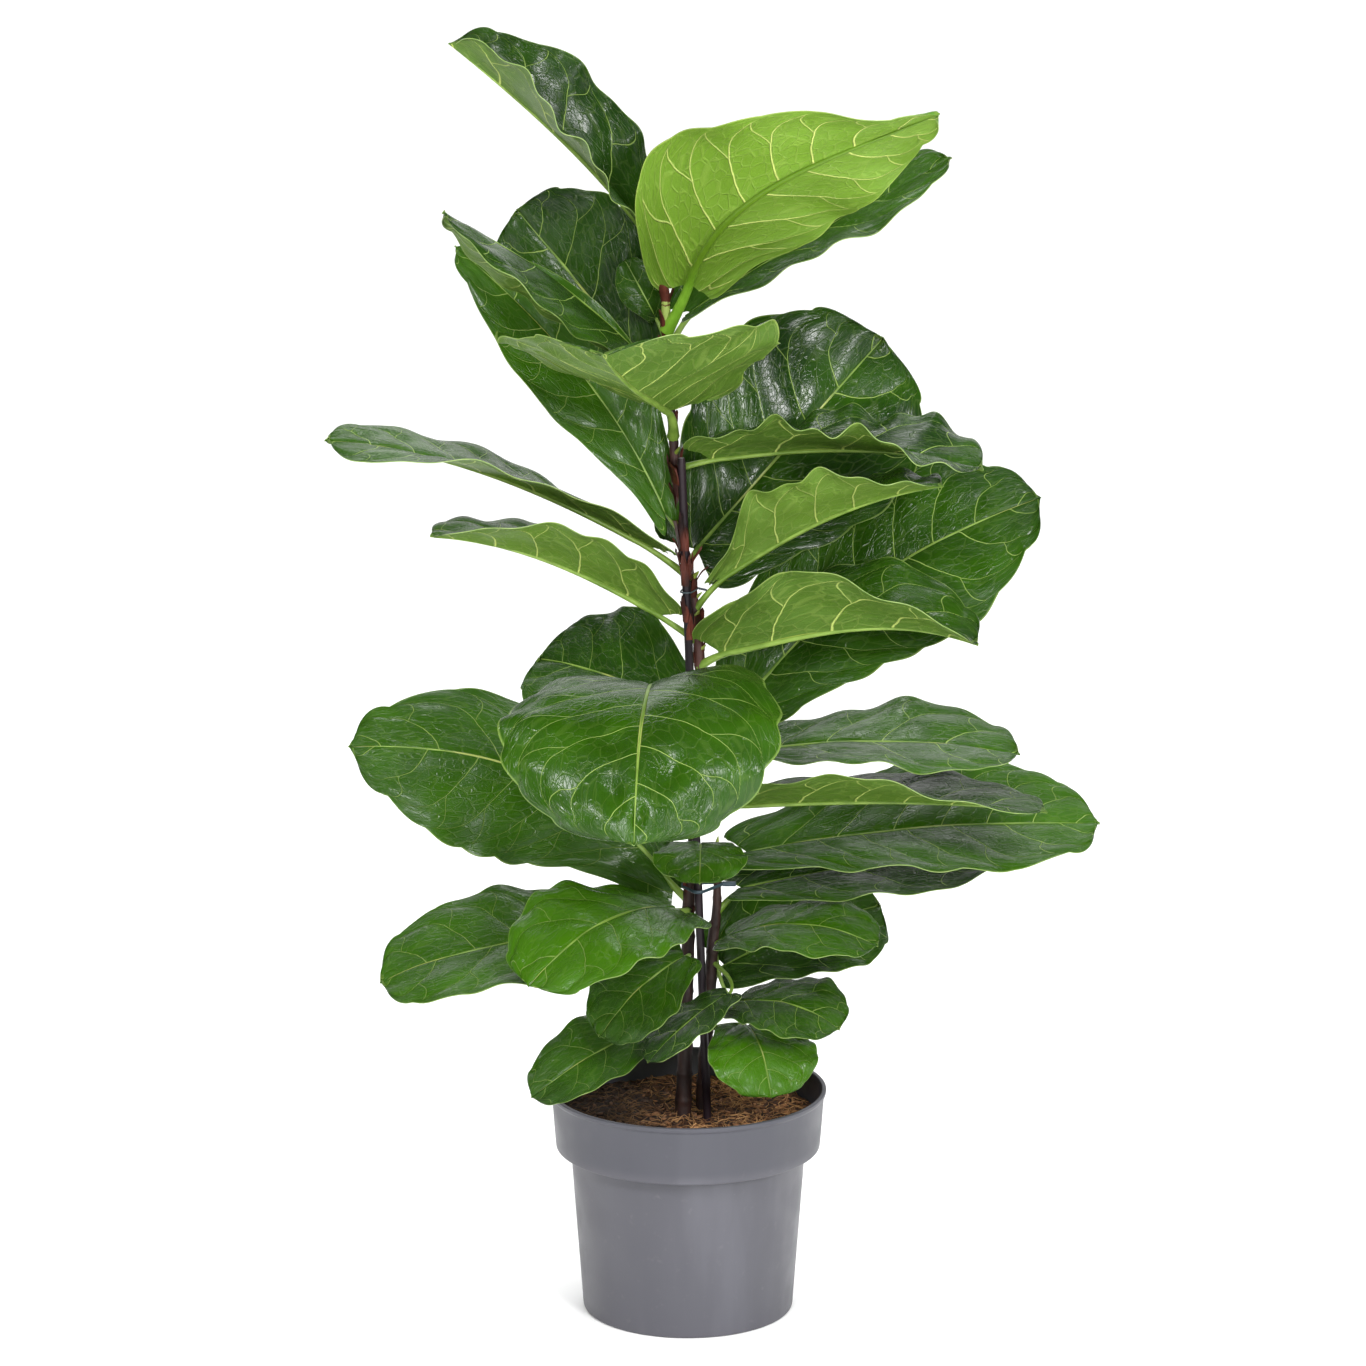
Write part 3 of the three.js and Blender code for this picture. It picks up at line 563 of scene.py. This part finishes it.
# Where the blade's points lie: t is from foot to tip, and c from the left margin to the right one
def bladePlaces(leaf, midrib, t, c, length, seed):
    place, ahead, up = midribAt(midrib, t)
    right = np.cross(ahead, up)
    side = np.where(c < 0, 0, 1)
    outward = np.sign(c)[:, None]
    away = np.abs(c)
    size = min(1, leaf["width"] / blade["fullWidth"])
    fold = np.asarray(leaf["fold"], float)
    fold = np.radians(fold[side] + (fold[side + 2] - fold[side]) * t * t)
    between = np.abs(np.sin(np.pi * veinPhase(leaf, t, away, side, length, seed)))  # 0 on a side vein
    lobe = blade["lobes"] * leaf["lobed"] * size ** 3 * away ** 3 * (between - blade["lobeMiddle"])
    half = leaf["width"] / 2 * outlineAt(leaf, t) * away * (1 + lobe)
    lead = blade["earLead"] * (1 - t) ** blade["endSharp"] + blade["tipLead"] * t ** blade["endSharp"]
    height, waves, phase = leaf["wave"]
    ripple = height * away ** 2 * np.sin(np.pi * t) * np.sin(2 * np.pi * waves * t + phase + 2 * side)
    place = place + ahead * (lead * away * length)[:, None]
    place = place + right * outward * (half * np.cos(fold))[:, None]
    place = place + up * (half * np.sin(fold) + ripple)[:, None]
    face = up * np.cos(fold)[:, None] - right * outward * np.sin(fold)[:, None]
    # the face's own relief: puckers between the veins, ruffled margins, lumps, the midrib's groove
    quilt = between ** blade["puckerRound"] * (1 - np.exp(-7 * away)) * (1 - away ** 6)
    swell = blade["puckers"] * leaf["pucker"] * size * quilt
    frill = np.sin(2 * np.pi * waves * blade["ruffles"] * t + seed * 3 + side)
    frill = frill * blade["ruffle"] * leaf["frill"] * size * away ** 3
    frill = frill * np.sin(np.pi * np.clip(t, 0, 1)) ** 0.5
    lumps = blade["lumps"] * leaf["pucker"] * size
    lumps = lumps * np.sin(11 * t + 4 * c + seed) * np.sin(7 * c - 5 * t + 2 * seed)
    groove = -blade["groove"] * np.exp(-(away / blade["grooveWide"]) ** 2)
    for spot, aside, depth, reach in leaf["hollows"]:
        lumps = lumps - depth * np.exp(-((t - spot) / reach) ** 2 - ((c - aside) / (1.6 * reach)) ** 2)
    curl = np.clip((away - blade["curlFrom"]) / blade["curlSpan"], 0, 1) ** 2
    lumps = lumps - leaf["curl"] * curl
    return place + face * (swell + frill + lumps + groove)[:, None]


def writeMap(mesh, layer, first, second):
    mesh.uv_layers[layer].data.foreach_set("uv", np.column_stack([first, second]).ravel())


def leafBlade(leaf, midrib, length, seed):
    across = 2 * max(4, round(leaf["width"] / blade["step"] / 2))
    rows = max(10, round(length / blade["step"]))
    obj, flat = newSheet(across, rows)
    mesh = obj.data
    c = flat[:, 0]
    t = (flat[:, 1] + 1) / 2
    t = 0.5 * t + 0.25 * (1 - np.cos(np.pi * t))  # closer rows at the foot and the tip
    writePlaces(mesh, bladePlaces(leaf, midrib, t, c, length, seed) * mm)
    corners = np.zeros(len(mesh.loops), int)
    mesh.loops.foreach_get("vertex_index", corners)
    middles = c[corners].reshape(-1, 4).mean(1)
    side = np.repeat(np.where(middles < 0, 0, 1), 4)
    away = np.abs(c[corners])
    vein = veinPhase(leaf, t[corners], away, side, length, seed)
    mesh.uv_layers.active.name = "bladeMap"
    mesh.uv_layers.new(name="veinMap")
    writeMap(mesh, "bladeMap", t[corners], (c[corners] + 1) / 2)
    writeMap(mesh, "veinMap", vein, away)
    return obj


# Stalk from the stem, running on as the rib under the blade
def leafStalk(leaf, midrib):
    form = stalkForm
    root = pathAt(stemPaths[leaf["stem"]], leaf["root"])[:3]
    scale = form["smallScale"] if leaf["width"] < form["smallWidth"] else 1.0
    radius = form["radius"] * scale * leaf["stalk"]
    start, _, up = midribAt(midrib, [form["meets"]])
    end = start[0] - up[0] * form["radius"] * 0.6
    reach = np.linalg.norm(root - end) * 0.45
    control = end - midribAt(midrib, [0])[1][0] * reach
    s = np.linspace(0, 1, form["steps"])[:, None]
    stalk = root * (1 - s) ** 2 + 2 * control * s * (1 - s) + end * s * s
    stalkRadii = radius * (1.25 - 0.45 * s[:, 0] + 0.25 * np.exp(-s[:, 0] * 9))
    t = np.linspace(form["ribFrom"], form["ribTo"], form["ribSteps"])
    place, _, up = midribAt(midrib, t)
    ribRadii = radius * form["ribShare"] * (1 - t) ** 0.8 + form["ribLeast"]
    rib = place - up * (0.5 + ribRadii * 0.55)[:, None]
    return rod(np.vstack([stalk, rib]), np.concatenate([stalkRadii, ribRadii]))


def makeLeaf(name, leaf, seed):
    midrib = midribOf(leaf)
    line = midribAt(midrib, np.linspace(0, 1, 60))[0]
    length = np.linalg.norm(np.diff(line, axis=0), axis=1).sum()
    obj = leafBlade(leaf, midrib, length, seed)
    upper, under = ("youngUpper", "youngUnder") if leaf["young"] else ("leafUpper", "leafUnder")
    for finish in (leafFinishes[upper], leafFinishes[under], marginFinish):
        obj.data.materials.append(finish)
    shell = obj.modifiers.new("thickness", "SOLIDIFY")
    shell.thickness = blade["thickness"] * mm
    shell.offset = 0  # the same both ways
    shell.material_offset = 1
    shell.material_offset_rim = 2
    applyModifiers(obj)
    stalk = leafStalk(leaf, midrib)
    paint(stalk, youngStalkFinish if leaf["young"] else stalkFinish)
    joinInto(obj, [stalk])
    for layer in ("toneAndSheen", "show"):
        data = obj.data.attributes.new(layer, "FLOAT", "POINT").data
        data.foreach_set("value", [leaf[layer]] * len(obj.data.vertices))
    smooth(obj, 60)
    handIn(obj, name + "_blade", "young_leaf" if leaf["young"] else "leaf", name)


for i, (name, leaf) in enumerate(leaves.items()):
    makeLeaf(name, {**plainLeaf, **leaf}, 1.7 * i)  # the seed gives each leaf ripples of its own
print("leaves made:", len(leaves))

# Woody stems: a ring at each old leaf joint, lenticels and fine cracks, young and green at the tip
stems = dict(firstJoint=90, jointGap=27.0, jointSwell=0.11, jointWide=2.4, sides=24, lump=0.5, lumpScale=90)
barkFinish = plainFinish("stemBark", (0.014, 0.006, 0.006), (0.085, 0.03, 0.022), 90, 0.6, 0.0004,
                         (1, 1, 0.35))
# painted shade: the stems darker towards their foot near the soil, where less light reaches
overlay(barkFinish, "Z", (0.35, 0.8, 0.65, 0), (0.007, 0.004, 0.003))
overlay(barkFinish, "Z", (0.965, 1.0, 0, 1), (0.25, 0.33, 0.07))


# Thickens a rod's radii round each joint
def swollen(radii, heights, joints, swell, wide):
    for joint in joints:
        radii = radii * (1 + swell * np.exp(-((heights - joint) / wide) ** 2))
    return radii


def makeStem(name, path, node):
    points = smoothPath(path)
    joints = np.arange(points[0, 2] + stems["firstJoint"], points[-1, 2], stems["jointGap"])
    fine = smoothPath(points, 4)
    radii = swollen(fine[:, 3], fine[:, 2], joints, stems["jointSwell"], stems["jointWide"])
    obj = rod(fine[:, :3], radii, stems["sides"])
    places = readPlaces(obj.data)
    lumps = [noise.noise(Vector(p) * stems["lumpScale"]) for p in places]
    normals = np.array([vertex.normal for vertex in obj.data.vertices])
    writePlaces(obj.data, places + normals * (np.array(lumps) * stems["lump"] * mm)[:, None])
    finishPiece(obj, barkFinish, name, "bark", node)


makeStem("trunkStem", trunkPath, "trunk")
makeStem("sideStem", sideStemPath, "side_stem")
cane = dict(joints=(230, 505, 760), swell=0.14, jointWide=3, slim=0.97, head=0.8, sides=20, rows=160)
caneFinish = plainFinish("darkCane", (0.006, 0.004, 0.006), (0.024, 0.014, 0.018), 40, 0.4, 0.0002,
                         (1, 1, 0.1), 0.22)


def makeCane():
    foot, head = np.array(stakePath)
    line = foot + (head - foot) * np.linspace(0, 1, cane["rows"])[:, None]
    radii = swollen(line[:, 3] * cane["slim"], line[:, 2], cane["joints"], cane["swell"], cane["jointWide"])
    radii[-1] *= cane["head"]
    finishPiece(rod(line[:, :3], radii, cane["sides"]), caneFinish, "cane", "stake", "stake")


makeCane()
print("stems and cane made")

# Ties: the outline round the posts that stand in a loop
clip = dict(height=423, tall=3.4, thickness=1.3, slack=0.9, clearance=0.3, bandShare=0.62,
            claspSize=(13, 3.4, 4.8), claspAside=12, claspEdge=0.7)
wire = dict(height=717, radius=0.75, slack=0.9, twistLong=9, twists=3, twistRadius=0.7, droop=2, end=0.8)
clipFinish = plainFinish("clipPlastic", (0.025, 0.045, 0.06), (0.045, 0.075, 0.095), 120, 0.4)
wireFinish = plainFinish("wireCoat", (0.02, 0.03, 0.035), (0.05, 0.07, 0.08), 150, 0.45)
allRound = np.linspace(0, 2 * math.pi, 72, endpoint=False)


def loopRound(posts, extra, height, turns=allRound):
    points = []
    for turn in turns:
        out = np.array((math.cos(turn), math.sin(turn)))
        far = max(posts, key=lambda post: post[0] * out[0] + post[1] * out[1] + post[3])
        points.append((*(np.array(far[:2]) + out * (far[3] + extra)), height))
    return points


def makeClip():
    posts = [pathAt(path, clip["height"]) for path in (trunkPath, sideStemPath, stakePath)]
    loop = loopRound(posts, clip["slack"] + clip["thickness"] / 2 + clip["clearance"], clip["height"])
    obj = rod(loop, [clip["thickness"] * clip["bandShare"]] * len(loop), closed=True)
    places = readPlaces(obj.data)
    middle = clip["height"] * mm
    places[:, 2] = middle + (places[:, 2] - middle) * clip["tall"] / clip["thickness"] * 0.8
    writePlaces(obj.data, places)
    side = posts[1]
    bpy.ops.mesh.primitive_cube_add(size=1)
    clasp = bpy.context.object
    clasp.scale = [length * mm for length in clip["claspSize"]]
    clasp.location = ((side[0] + clip["claspAside"]) * mm, side[1] * mm, middle)
    pick(clasp)
    bpy.ops.object.transform_apply()
    edge = clasp.modifiers.new("edge", "BEVEL")
    edge.width = clip["claspEdge"] * mm
    edge.segments = 3
    applyModifiers(clasp)
    finishPiece(joinInto(obj, [clasp]), clipFinish, "stemClip", "clip", "clip")


def makeWire():
    posts = [pathAt(path, wire["height"]) for path in (trunkPath, stakePath)]
    loop = loopRound(posts, wire["slack"] + wire["radius"], wire["height"])
    obj = rod(loop, [wire["radius"]] * len(loop), closed=True)
    start = posts[0][0] + posts[0][3] + wire["slack"]
    s = np.linspace(0, 1, 26)
    ends = []
    for half in (0, 1):
        turn = 2 * math.pi * (wire["twists"] * s + half / 2)
        y = posts[0][1] + wire["twistRadius"] * np.cos(turn)
        z = wire["height"] - wire["droop"] * s + wire["twistRadius"] * np.sin(turn)
        line = np.column_stack([start + s * wire["twistLong"], y, z])
        ends.append(rod(line, [wire["radius"] * wire["end"]] * len(line), 8))
    finishPiece(joinInto(obj, ends), wireFinish, "wireTie", "wire", "wire_tie")


makeClip()
makeWire()
print("ties made")

# Papery scales at the joints: height, turn round the stem in degrees, length, width, spread
scales = [
    (1004, 190, 30, 10, 0.1), (990, 252, 27, 17, 0.12), (990, 330, 22, 9, 0.2), (961, 215, 25, 13, 0.1),
    (952, 60, 20, 6, 0.3), (936, 215, 26, 9, 0.2), (925, 300, 20, 8, 0.15), (900, 150, 20, 6, 0.25),
    (872, 300, 18, 7, 0.2), (835, 40, 18, 6, 0.3), (806, 262, 32, 10, 0.1), (792, 215, 28, 9, 0.2),
    (776, 295, 26, 9, 0.22), (756, 240, 28, 10, 0.14), (742, 200, 24, 8, 0.3), (738, 20, 18, 5, 0.5),
    (722, 350, 16, 5, 0.7), (708, 285, 24, 9, 0.14), (690, 220, 22, 9, 0.25), (672, 300, 27, 14, 0.14),
    (656, 330, 20, 7, 0.3), (644, 210, 20, 8, 0.3), (604, 280, 18, 6, 0.2), (560, 250, 16, 6, 0.22),
    (452, 60, 10, 4, 0.4), (418, 240, 12, 5, 0.3), (395, 300, 10, 4, 0.35),
]
# Wider sheaths lie round the stem and the cane together: height, first turn, last turn, length, flare
sheaths = [(757, 165, 330, 41, 3.0), (723, 150, 305, 37, 2.5), (729, 275, 380, 27, 3.0),
           (671, 245, 372, 27, 3.0), (688, 165, 300, 28, 2.0), (820, 150, 230, 28, 2.0)]
papery = dict(thickness=0.5, scaleOff=0.5, sheathOff=0.7)  # Off: from the stem
scaleFinish = plainFinish("paperyScale", (0.006, 0.002, 0.002), (0.115, 0.03, 0.019), 75, 0.5, 0.0009,
                          (1, 1, 0.25), 0.15)


# A scale leans out from the stem and its edges curl
def scalePlaces(flat, height, turn, long, wide, spread):
    stem = pathAt(trunkPath, height)
    c, s = flat[:, 0], (flat[:, 1] + 1) / 2
    outline = wide / 2 * np.sqrt(np.clip(1 - s ** 2.2, 0.004, 1)) * (0.75 + 0.5 * s * (1 - s))
    away = stem[3] + papery["scaleOff"] + spread * long * s ** 1.7 + 0.5 * np.sin(7 * s + height)
    angle = math.radians(turn) + c * outline / (away + 1.5)
    out = away + 1.2 * c * c * s
    rise = height + s * long + 0.6 * np.sin(5 * c + height)
    return np.column_stack([stem[0] + out * np.cos(angle), stem[1] + out * np.sin(angle), rise])


# A sheath narrows upwards, with a ragged top and waves that stand out
def sheathPlaces(flat, height, first, last, long, flare):
    places = []
    for c, s in (flat[:, :2] + 1) / 2:
        narrow = 0.5 + (c - 0.5) * (1 - 0.45 * s ** 2)
        angle = math.radians(first + (last - first) * narrow)
        top = 0.72 + 0.2 * math.sin(9 * c + height) + 0.08 * math.sin(31 * c)
        rise = height + long * s * top
        extra = papery["sheathOff"] + flare * s * s + 0.7 * math.sin(13 * c + height) * s
        posts = [pathAt(path, rise) for path in (trunkPath, stakePath)]
        places += loopRound(posts, extra, rise, [angle])
    return np.array(places)


def makeScales():
    pieces = []
    for rows, shape, across in ((scales, scalePlaces, 8), (sheaths, sheathPlaces, 22)):
        for row in rows:
            obj, flat = newSheet(across, 14)
            writePlaces(obj.data, shape(flat, *row) * mm)
            pieces.append(obj)
    obj = joinInto(pieces[0], pieces[1:])
    shell = obj.modifiers.new("thickness", "SOLIDIFY")
    shell.thickness = papery["thickness"] * mm
    applyModifiers(obj)
    turnOut(obj, merge=False)
    finishPiece(obj, scaleFinish, "paperyScales", "bark")


makeScales()
# Buds: stem, foot height, lean, radius
buds = [("trunk", 1016, (-3, -5, 26), 4.0), ("sideStem", 458, (2, -3, 14), 2.4),
        ("trunk", 724, (9, -13, 12), 3.4), ("trunk", 705, (9, -3, 9), 2.2),
        ("trunk", 655, (7, -6, 8), 2.4), ("trunk", 688, (4, -13, 10), 2.6),
        ("trunk", 741, (1, -13, 11), 2.4), ("trunk", 772, (-4, -12, 12), 2.2),
        ("trunk", 640, (8, -9, 9), 2.8), ("trunk", 846, (5, -11, 10), 2.0)]
budFinish = plainFinish("budGreen", (0.11, 0.16, 0.02), (0.28, 0.34, 0.05), 120, 0.45)


def makeBuds():
    pieces = []
    s = np.linspace(0, 1, 14)
    for stem, height, lean, radius in buds:
        line = pathAt(stemPaths[stem], height)[:3] + np.array(lean) * s[:, None]
        radii = radius * (1 - s ** 1.6) ** 0.8 + 0.15
        pieces.append(rod(line, radii, 16))
    finishPiece(joinInto(pieces[0], pieces[1:]), budFinish, "buds", "bark")


makeBuds()
print("scales and buds made")

# Pot: the solid's section with rounded corners, and its drain holes
pot = dict(rim=135, height=222, foot=103, wall=2, collar=57, neck=115, step=14.5, lipWidth=4.5,
           lipHeight=4, boss=40, footRing=5, floorRise=3, floorTop=5.5, corner=1.6, drains=8,
           drainRadius=6, drainCircle=72)


# Rounds the corners of a profile
def rounded(profile, radius, steps=4):
    out = [profile[0]]
    for before, corner, after in zip(profile, profile[1:], profile[2:]):
        before, corner, after = map(np.array, (before, corner, after))
        into = corner - before
        on = after - corner
        cut = min(radius, 0.45 * np.linalg.norm(into), 0.45 * np.linalg.norm(on))
        a = corner - into / np.linalg.norm(into) * cut
        b = corner + on / np.linalg.norm(on) * cut
        for i in range(steps + 1):
            s = i / steps
            out.append(tuple(a * (1 - s) ** 2 + 2 * corner * s * (1 - s) + b * s * s))
    out.append(profile[-1])
    return out


def potFinish():
    finish, tree, shader = newFinish("potPlastic", 0.42, 0.5)
    cloud = ramp(objectNoise(tree, 5, 4, (1, 1, 0.4)), 0.3, 0.7)
    colour = mixColour(cloud, (0.062, 0.061, 0.074), (0.078, 0.077, 0.092))
    streak = ramp(objectNoise(tree, 26, 4, (1, 1, 0.15)), 0.45, 0.75)
    colour = tint(streak, 0.22, colour, (0.155, 0.155, 0.18))
    dust = ramp(objectNoise(tree, 120, 4), 0.6, 0.85)
    colour = tint(dust, 0.25, colour, (0.18, 0.175, 0.18))
    tree.links.new(colour, shader.inputs["Base Color"])
    rough = ramp(objectNoise(tree, 30, 4), 0.3, 0.7, 0.38, 0.5)
    tree.links.new(rough, shader.inputs["Roughness"])
    flow = bump(shader, objectNoise(tree, 16, 3, (1, 1, 0.12)), 0.0006, 0.35)
    bump(shader, objectNoise(tree, 900, 2), 0.00006, 0.6, flow)
    # painted shade: the collar and rim, above 176 mm, darker than the body
    overlay(finish, "Z", (0.163, 0.176, 0, 0.7), (0.046, 0.047, 0.06), 0)
    return finish


def makePot():
    foot = pot["height"] - pot["collar"]
    rim, neck, step, ring = pot["rim"], pot["neck"], pot["step"], pot["foot"]
    top, lip = pot["height"], pot["height"] - pot["lipHeight"]
    inner = rim - pot["lipWidth"]
    profile = [
        (0, 0), (pot["boss"], 0), (pot["boss"] + 2, pot["floorRise"]),
        (ring - pot["footRing"] - 2, pot["floorRise"]), (ring - pot["footRing"], 0), (ring - 1, 0),
        (ring, 2), (neck, foot + 1), (neck + step - 3.5, foot - 2), (neck + step - 0.5, foot - 1),
        (neck + step, foot + 4), (rim - 2, lip - 2), (rim, lip), (rim, top - 0.5), (rim - 1, top),
        (inner + 0.5, top), (inner, lip),
        (neck + step - 2.5, foot + 4), (neck - pot["wall"], foot + 1), (ring - pot["wall"], 8),
        (ring - 6, pot["floorTop"]), (0, pot["floorTop"]),
    ]
    obj = turned(rounded(profile, pot["corner"]))
    drills = []
    for i in range(pot["drains"]):
        turn = 2 * math.pi * (i + 0.5) / pot["drains"]
        place = (pot["drainCircle"] * math.cos(turn) * mm, pot["drainCircle"] * math.sin(turn) * mm, 4 * mm)
        radius = pot["drainRadius"] * mm
        bpy.ops.mesh.primitive_cylinder_add(vertices=32, radius=radius, depth=20 * mm, location=place)
        drills.append(bpy.context.object)
    drill = joinInto(drills[0], drills[1:])
    bpy.ops.object.transform_apply()
    cut = obj.modifiers.new("drains", "BOOLEAN")
    cut.object = drill
    cut.operation = "DIFFERENCE"
    cut.solver = "EXACT"
    applyModifiers(obj)
    bpy.data.objects.remove(drill)
    finishPiece(obj, potFinish(), "nurseryPot", "pot", "pot", angle=35)


makePot()
print("pot made")

# Soil: a lumpy bed, bark chips and coir strands on it. Sizes from the least to the most
soil = dict(top=194.0, lumps=4.6, wallAtTop=127.2, rings=64, turns=224)
chips = dict(count=620, size=(1.2, 4.6), breadth=(0.4, 0.8), height=(0.25, 0.5), rough=0.25, reach=121)
strands = dict(count=560, length=(9, 30), radius=(0.2, 0.5), lift=(0.4, 5), curve=1.6, steps=7, reach=117,
               limit=124)
soilFinish = plainFinish("coirSoil", (0.005, 0.0025, 0.0015), (0.105, 0.042, 0.015), 170, 0.95, 0.0018)
chipFinish = plainFinish("barkChip", (0.012, 0.005, 0.003), (0.34, 0.155, 0.062), 90, 0.85, 0.0006)
strandFinish = plainFinish("coirStrand", (0.1, 0.038, 0.013), (0.5, 0.27, 0.11), 70, 0.8)
for finish in (soilFinish, chipFinish, strandFinish):
    overlay(finish, "X", (-0.05, 0.04, 0.85, 0), (0.006, 0.003, 0.002))  # painted shade: darker on the left side, where shade falls on the soil
luck = random.Random(8)


def soilHeight(x, y):
    broad = noise.noise(Vector((x / 30, y / 30, 2.0)))
    small = noise.fractal(Vector((x / 7, y / 7, 5.0)), 1.0, 2.0, 4)
    return soil["top"] + soil["lumps"] * (0.6 * broad + 0.55 * small)


def makeSoil():
    foot = pot["height"] - pot["collar"]
    slack = pot["wall"] + 0.3
    floor = pot["floorTop"] + 0.3
    top = soil["top"]
    profile = [(0, floor), (pot["foot"] - 6.5, floor), (pot["foot"] - slack - 0.2, 8.6),
               (pot["neck"] - slack, foot + 1.2), (pot["neck"] + pot["step"] - 2.8, foot + 4.4),
               (soil["wallAtTop"], top - 2)]
    profile += [(radius, top) for radius in np.linspace(soil["wallAtTop"] - 1.5, 0, soil["rings"])]
    obj = turned(profile, soil["turns"])
    places = readPlaces(obj.data) / mm
    for place in places:
        if place[2] > top - 0.5:
            place[2] = soilHeight(place[0], place[1])
    writePlaces(obj.data, places * mm)
    finishPiece(obj, soilFinish, "soilBed", "soil", "soil", angle=80)


# A place on the soil, more often on the right
def scatter(reach):
    while True:
        x, y = reach * (1 - 2 * luck.random() ** 1.25), luck.uniform(-reach, reach)
        if math.hypot(x, y) < reach:
            return x, y


def makeChips():
    bpy.ops.mesh.primitive_ico_sphere_add(subdivisions=1, radius=1)
    seed = bpy.context.object
    shape = readPlaces(seed.data)
    corners = [tuple(face.vertices) for face in seed.data.polygons]
    bpy.data.objects.remove(seed)
    places, faces = [], []
    for _ in range(chips["count"]):
        x, y = scatter(chips["reach"])
        size = luck.uniform(*chips["size"])
        size = size * np.array((1, luck.uniform(*chips["breadth"]), luck.uniform(*chips["height"])))
        turn = luck.uniform(0, 2 * math.pi)
        tilt = luck.uniform(-0.5, 0.5)
        local = shape * size * (1 + chips["rough"] * np.array([[luck.uniform(-1, 1)] for _ in shape]))
        local = local @ np.array(((1, 0, math.sin(tilt)), (0, 1, 0), (-math.sin(tilt), 0, 1)))
        chipX = local[:, 0] * math.cos(turn) - local[:, 1] * math.sin(turn) + x
        chipY = local[:, 0] * math.sin(turn) + local[:, 1] * math.cos(turn) + y
        chipZ = local[:, 2] + soilHeight(x, y) + 0.5
        faces += [tuple(corner + len(places) for corner in face) for face in corners]
        places += list(zip(chipX * mm, chipY * mm, chipZ * mm))
    obj = newPiece(places, faces=faces)
    turnOut(obj, merge=False)
    finishPiece(obj, chipFinish, "barkChips", "soil", angle=30)


def makeStrands():
    steps, limit = strands["steps"], strands["limit"]
    corners = [(4 * k + j, 4 * k + (j + 1) % 4, 4 * k + (j + 1) % 4 + 4, 4 * k + j + 4)
               for k in range(steps) for j in range(4)]
    corners += [(3, 2, 1, 0), tuple(4 * steps + j for j in range(4))]
    places, faces = [], []
    for _ in range(strands["count"]):
        x, y = scatter(strands["reach"])
        turn = luck.uniform(0, 2 * math.pi)
        curve = luck.uniform(-strands["curve"], strands["curve"])
        long = luck.uniform(*strands["length"])
        radius = luck.uniform(*strands["radius"])
        lift = luck.uniform(*strands["lift"])
        faces += [tuple(corner + len(places) for corner in face) for face in corners]
        for k in range(steps + 1):
            s = k / steps
            heading = turn + curve * s
            px, py = x + long * s * math.cos(heading), y + long * s * math.sin(heading)
            if math.hypot(px, py) > limit:  # stays inside the pot
                px, py = px * limit / math.hypot(px, py), py * limit / math.hypot(px, py)
            pz = soilHeight(px, py) + 0.5 + lift * math.sin(math.pi * s)
            for spin in (0, math.pi / 2, math.pi, math.pi * 3 / 2):
                side = radius * math.cos(spin)
                places.append(((px - side * math.sin(heading)) * mm, (py + side * math.cos(heading)) * mm,
                               (pz + radius * math.sin(spin)) * mm))
    obj = newPiece(places, faces=faces)
    turnOut(obj, merge=False)
    finishPiece(obj, strandFinish, "coirStrands", "soil")


makeSoil()
makeChips()
makeStrands()
print("soil made")

# Studio: pale floor, soft lights
studio = dict(
    floorSize=240, floorDrop=0.0004, floorWhite=0.97,
    low=0.16, high=0.06, overhead=0.25,  # brightness of the surroundings, from the horizon upwards
    horizon=(0.12, 0.55), zenith=(0.7, 0.85), ground=(0.01, 0.04),  # how high each fades to the next
    # name, height and turn in degrees, strength, spread
    suns=[("keySun", 50, 34, 1.25, 40), ("fillSun", 38, -48, 0.55, 60), ("topSun", 78, 150, 2.15, 46)],
    # name, place, target, width, height, power
    softboxes=[("keyBox", (-1.0, -2.45, 2.7), (0, 0, 0.6), 1.2, 0.45, 50),
               ("frontBox", (1.35, -2.5, 1.62), (0.05, 0.08, 0.87), 0.65, 0.75, 56),
               ("eyeBox", (-0.6, -3.0, 1.15), (0, 0, 0.85), 0.5, 0.4, 22),
               ("highBox", (-0.1, 1.8, 3.5), (0.2, 0, 1.05), 0.8, 0.65, 13),
               ("backBox", (0.2, 2.8, 1.9), (0, 0, 0.7), 4.2, 1.2, 24)],
)
bpy.ops.mesh.primitive_plane_add(size=studio["floorSize"], location=(0, 0, -studio["floorDrop"]))
floor = bpy.context.object
floor.name = "paleFloor"
floorFinish, _, floorShader = newFinish("paleFloor", 0.9, 0.1)
floorShader.inputs["Base Color"].default_value = (*[studio["floorWhite"]] * 3, 1)
floor.data.materials.append(floorFinish)
world = bpy.data.worlds.new("studioSky")
world.use_nodes = True
sky = world.node_tree
direction = addNode(sky, "TexCoord").outputs["Generated"]
upward = addNode(sky, "SeparateXYZ", {0: direction}).outputs["Z"]
glow = ramp(upward, *studio["horizon"], studio["low"], studio["high"])
glow = calc("MAXIMUM", glow, ramp(upward, *studio["zenith"], 0, studio["overhead"]))
glow = calc("MAXIMUM", glow, ramp(upward, *studio["ground"], 1, 0))
sky.nodes["Background"].inputs["Color"].default_value = (1, 1, 1, 1)
sky.links.new(glow, sky.nodes["Background"].inputs["Strength"])
scene.world = world
scene.view_settings.view_transform = "Standard"
for name, height, turn, strength, spread in studio["suns"]:
    bpy.ops.object.light_add(type="SUN", location=(0, 0, 4))
    sun = bpy.context.object
    sun.name = name
    sun.data.energy = strength
    sun.data.angle = math.radians(spread)
    sun.visible_glossy = False
    sun.rotation_euler = (math.radians(90 - height), 0, math.radians(turn))
for name, place, target, wide, tall, power in studio["softboxes"]:
    bpy.ops.object.light_add(type="AREA", location=place)
    box = bpy.context.object
    box.name = name
    box.data.shape = "RECTANGLE"
    box.data.size = wide
    box.data.size_y = tall
    box.data.energy = power
    box.visible_camera = False
    box.rotation_euler = (Vector(place) - Vector(target)).to_track_quat("Z", "Y").to_euler()
print("studio set")
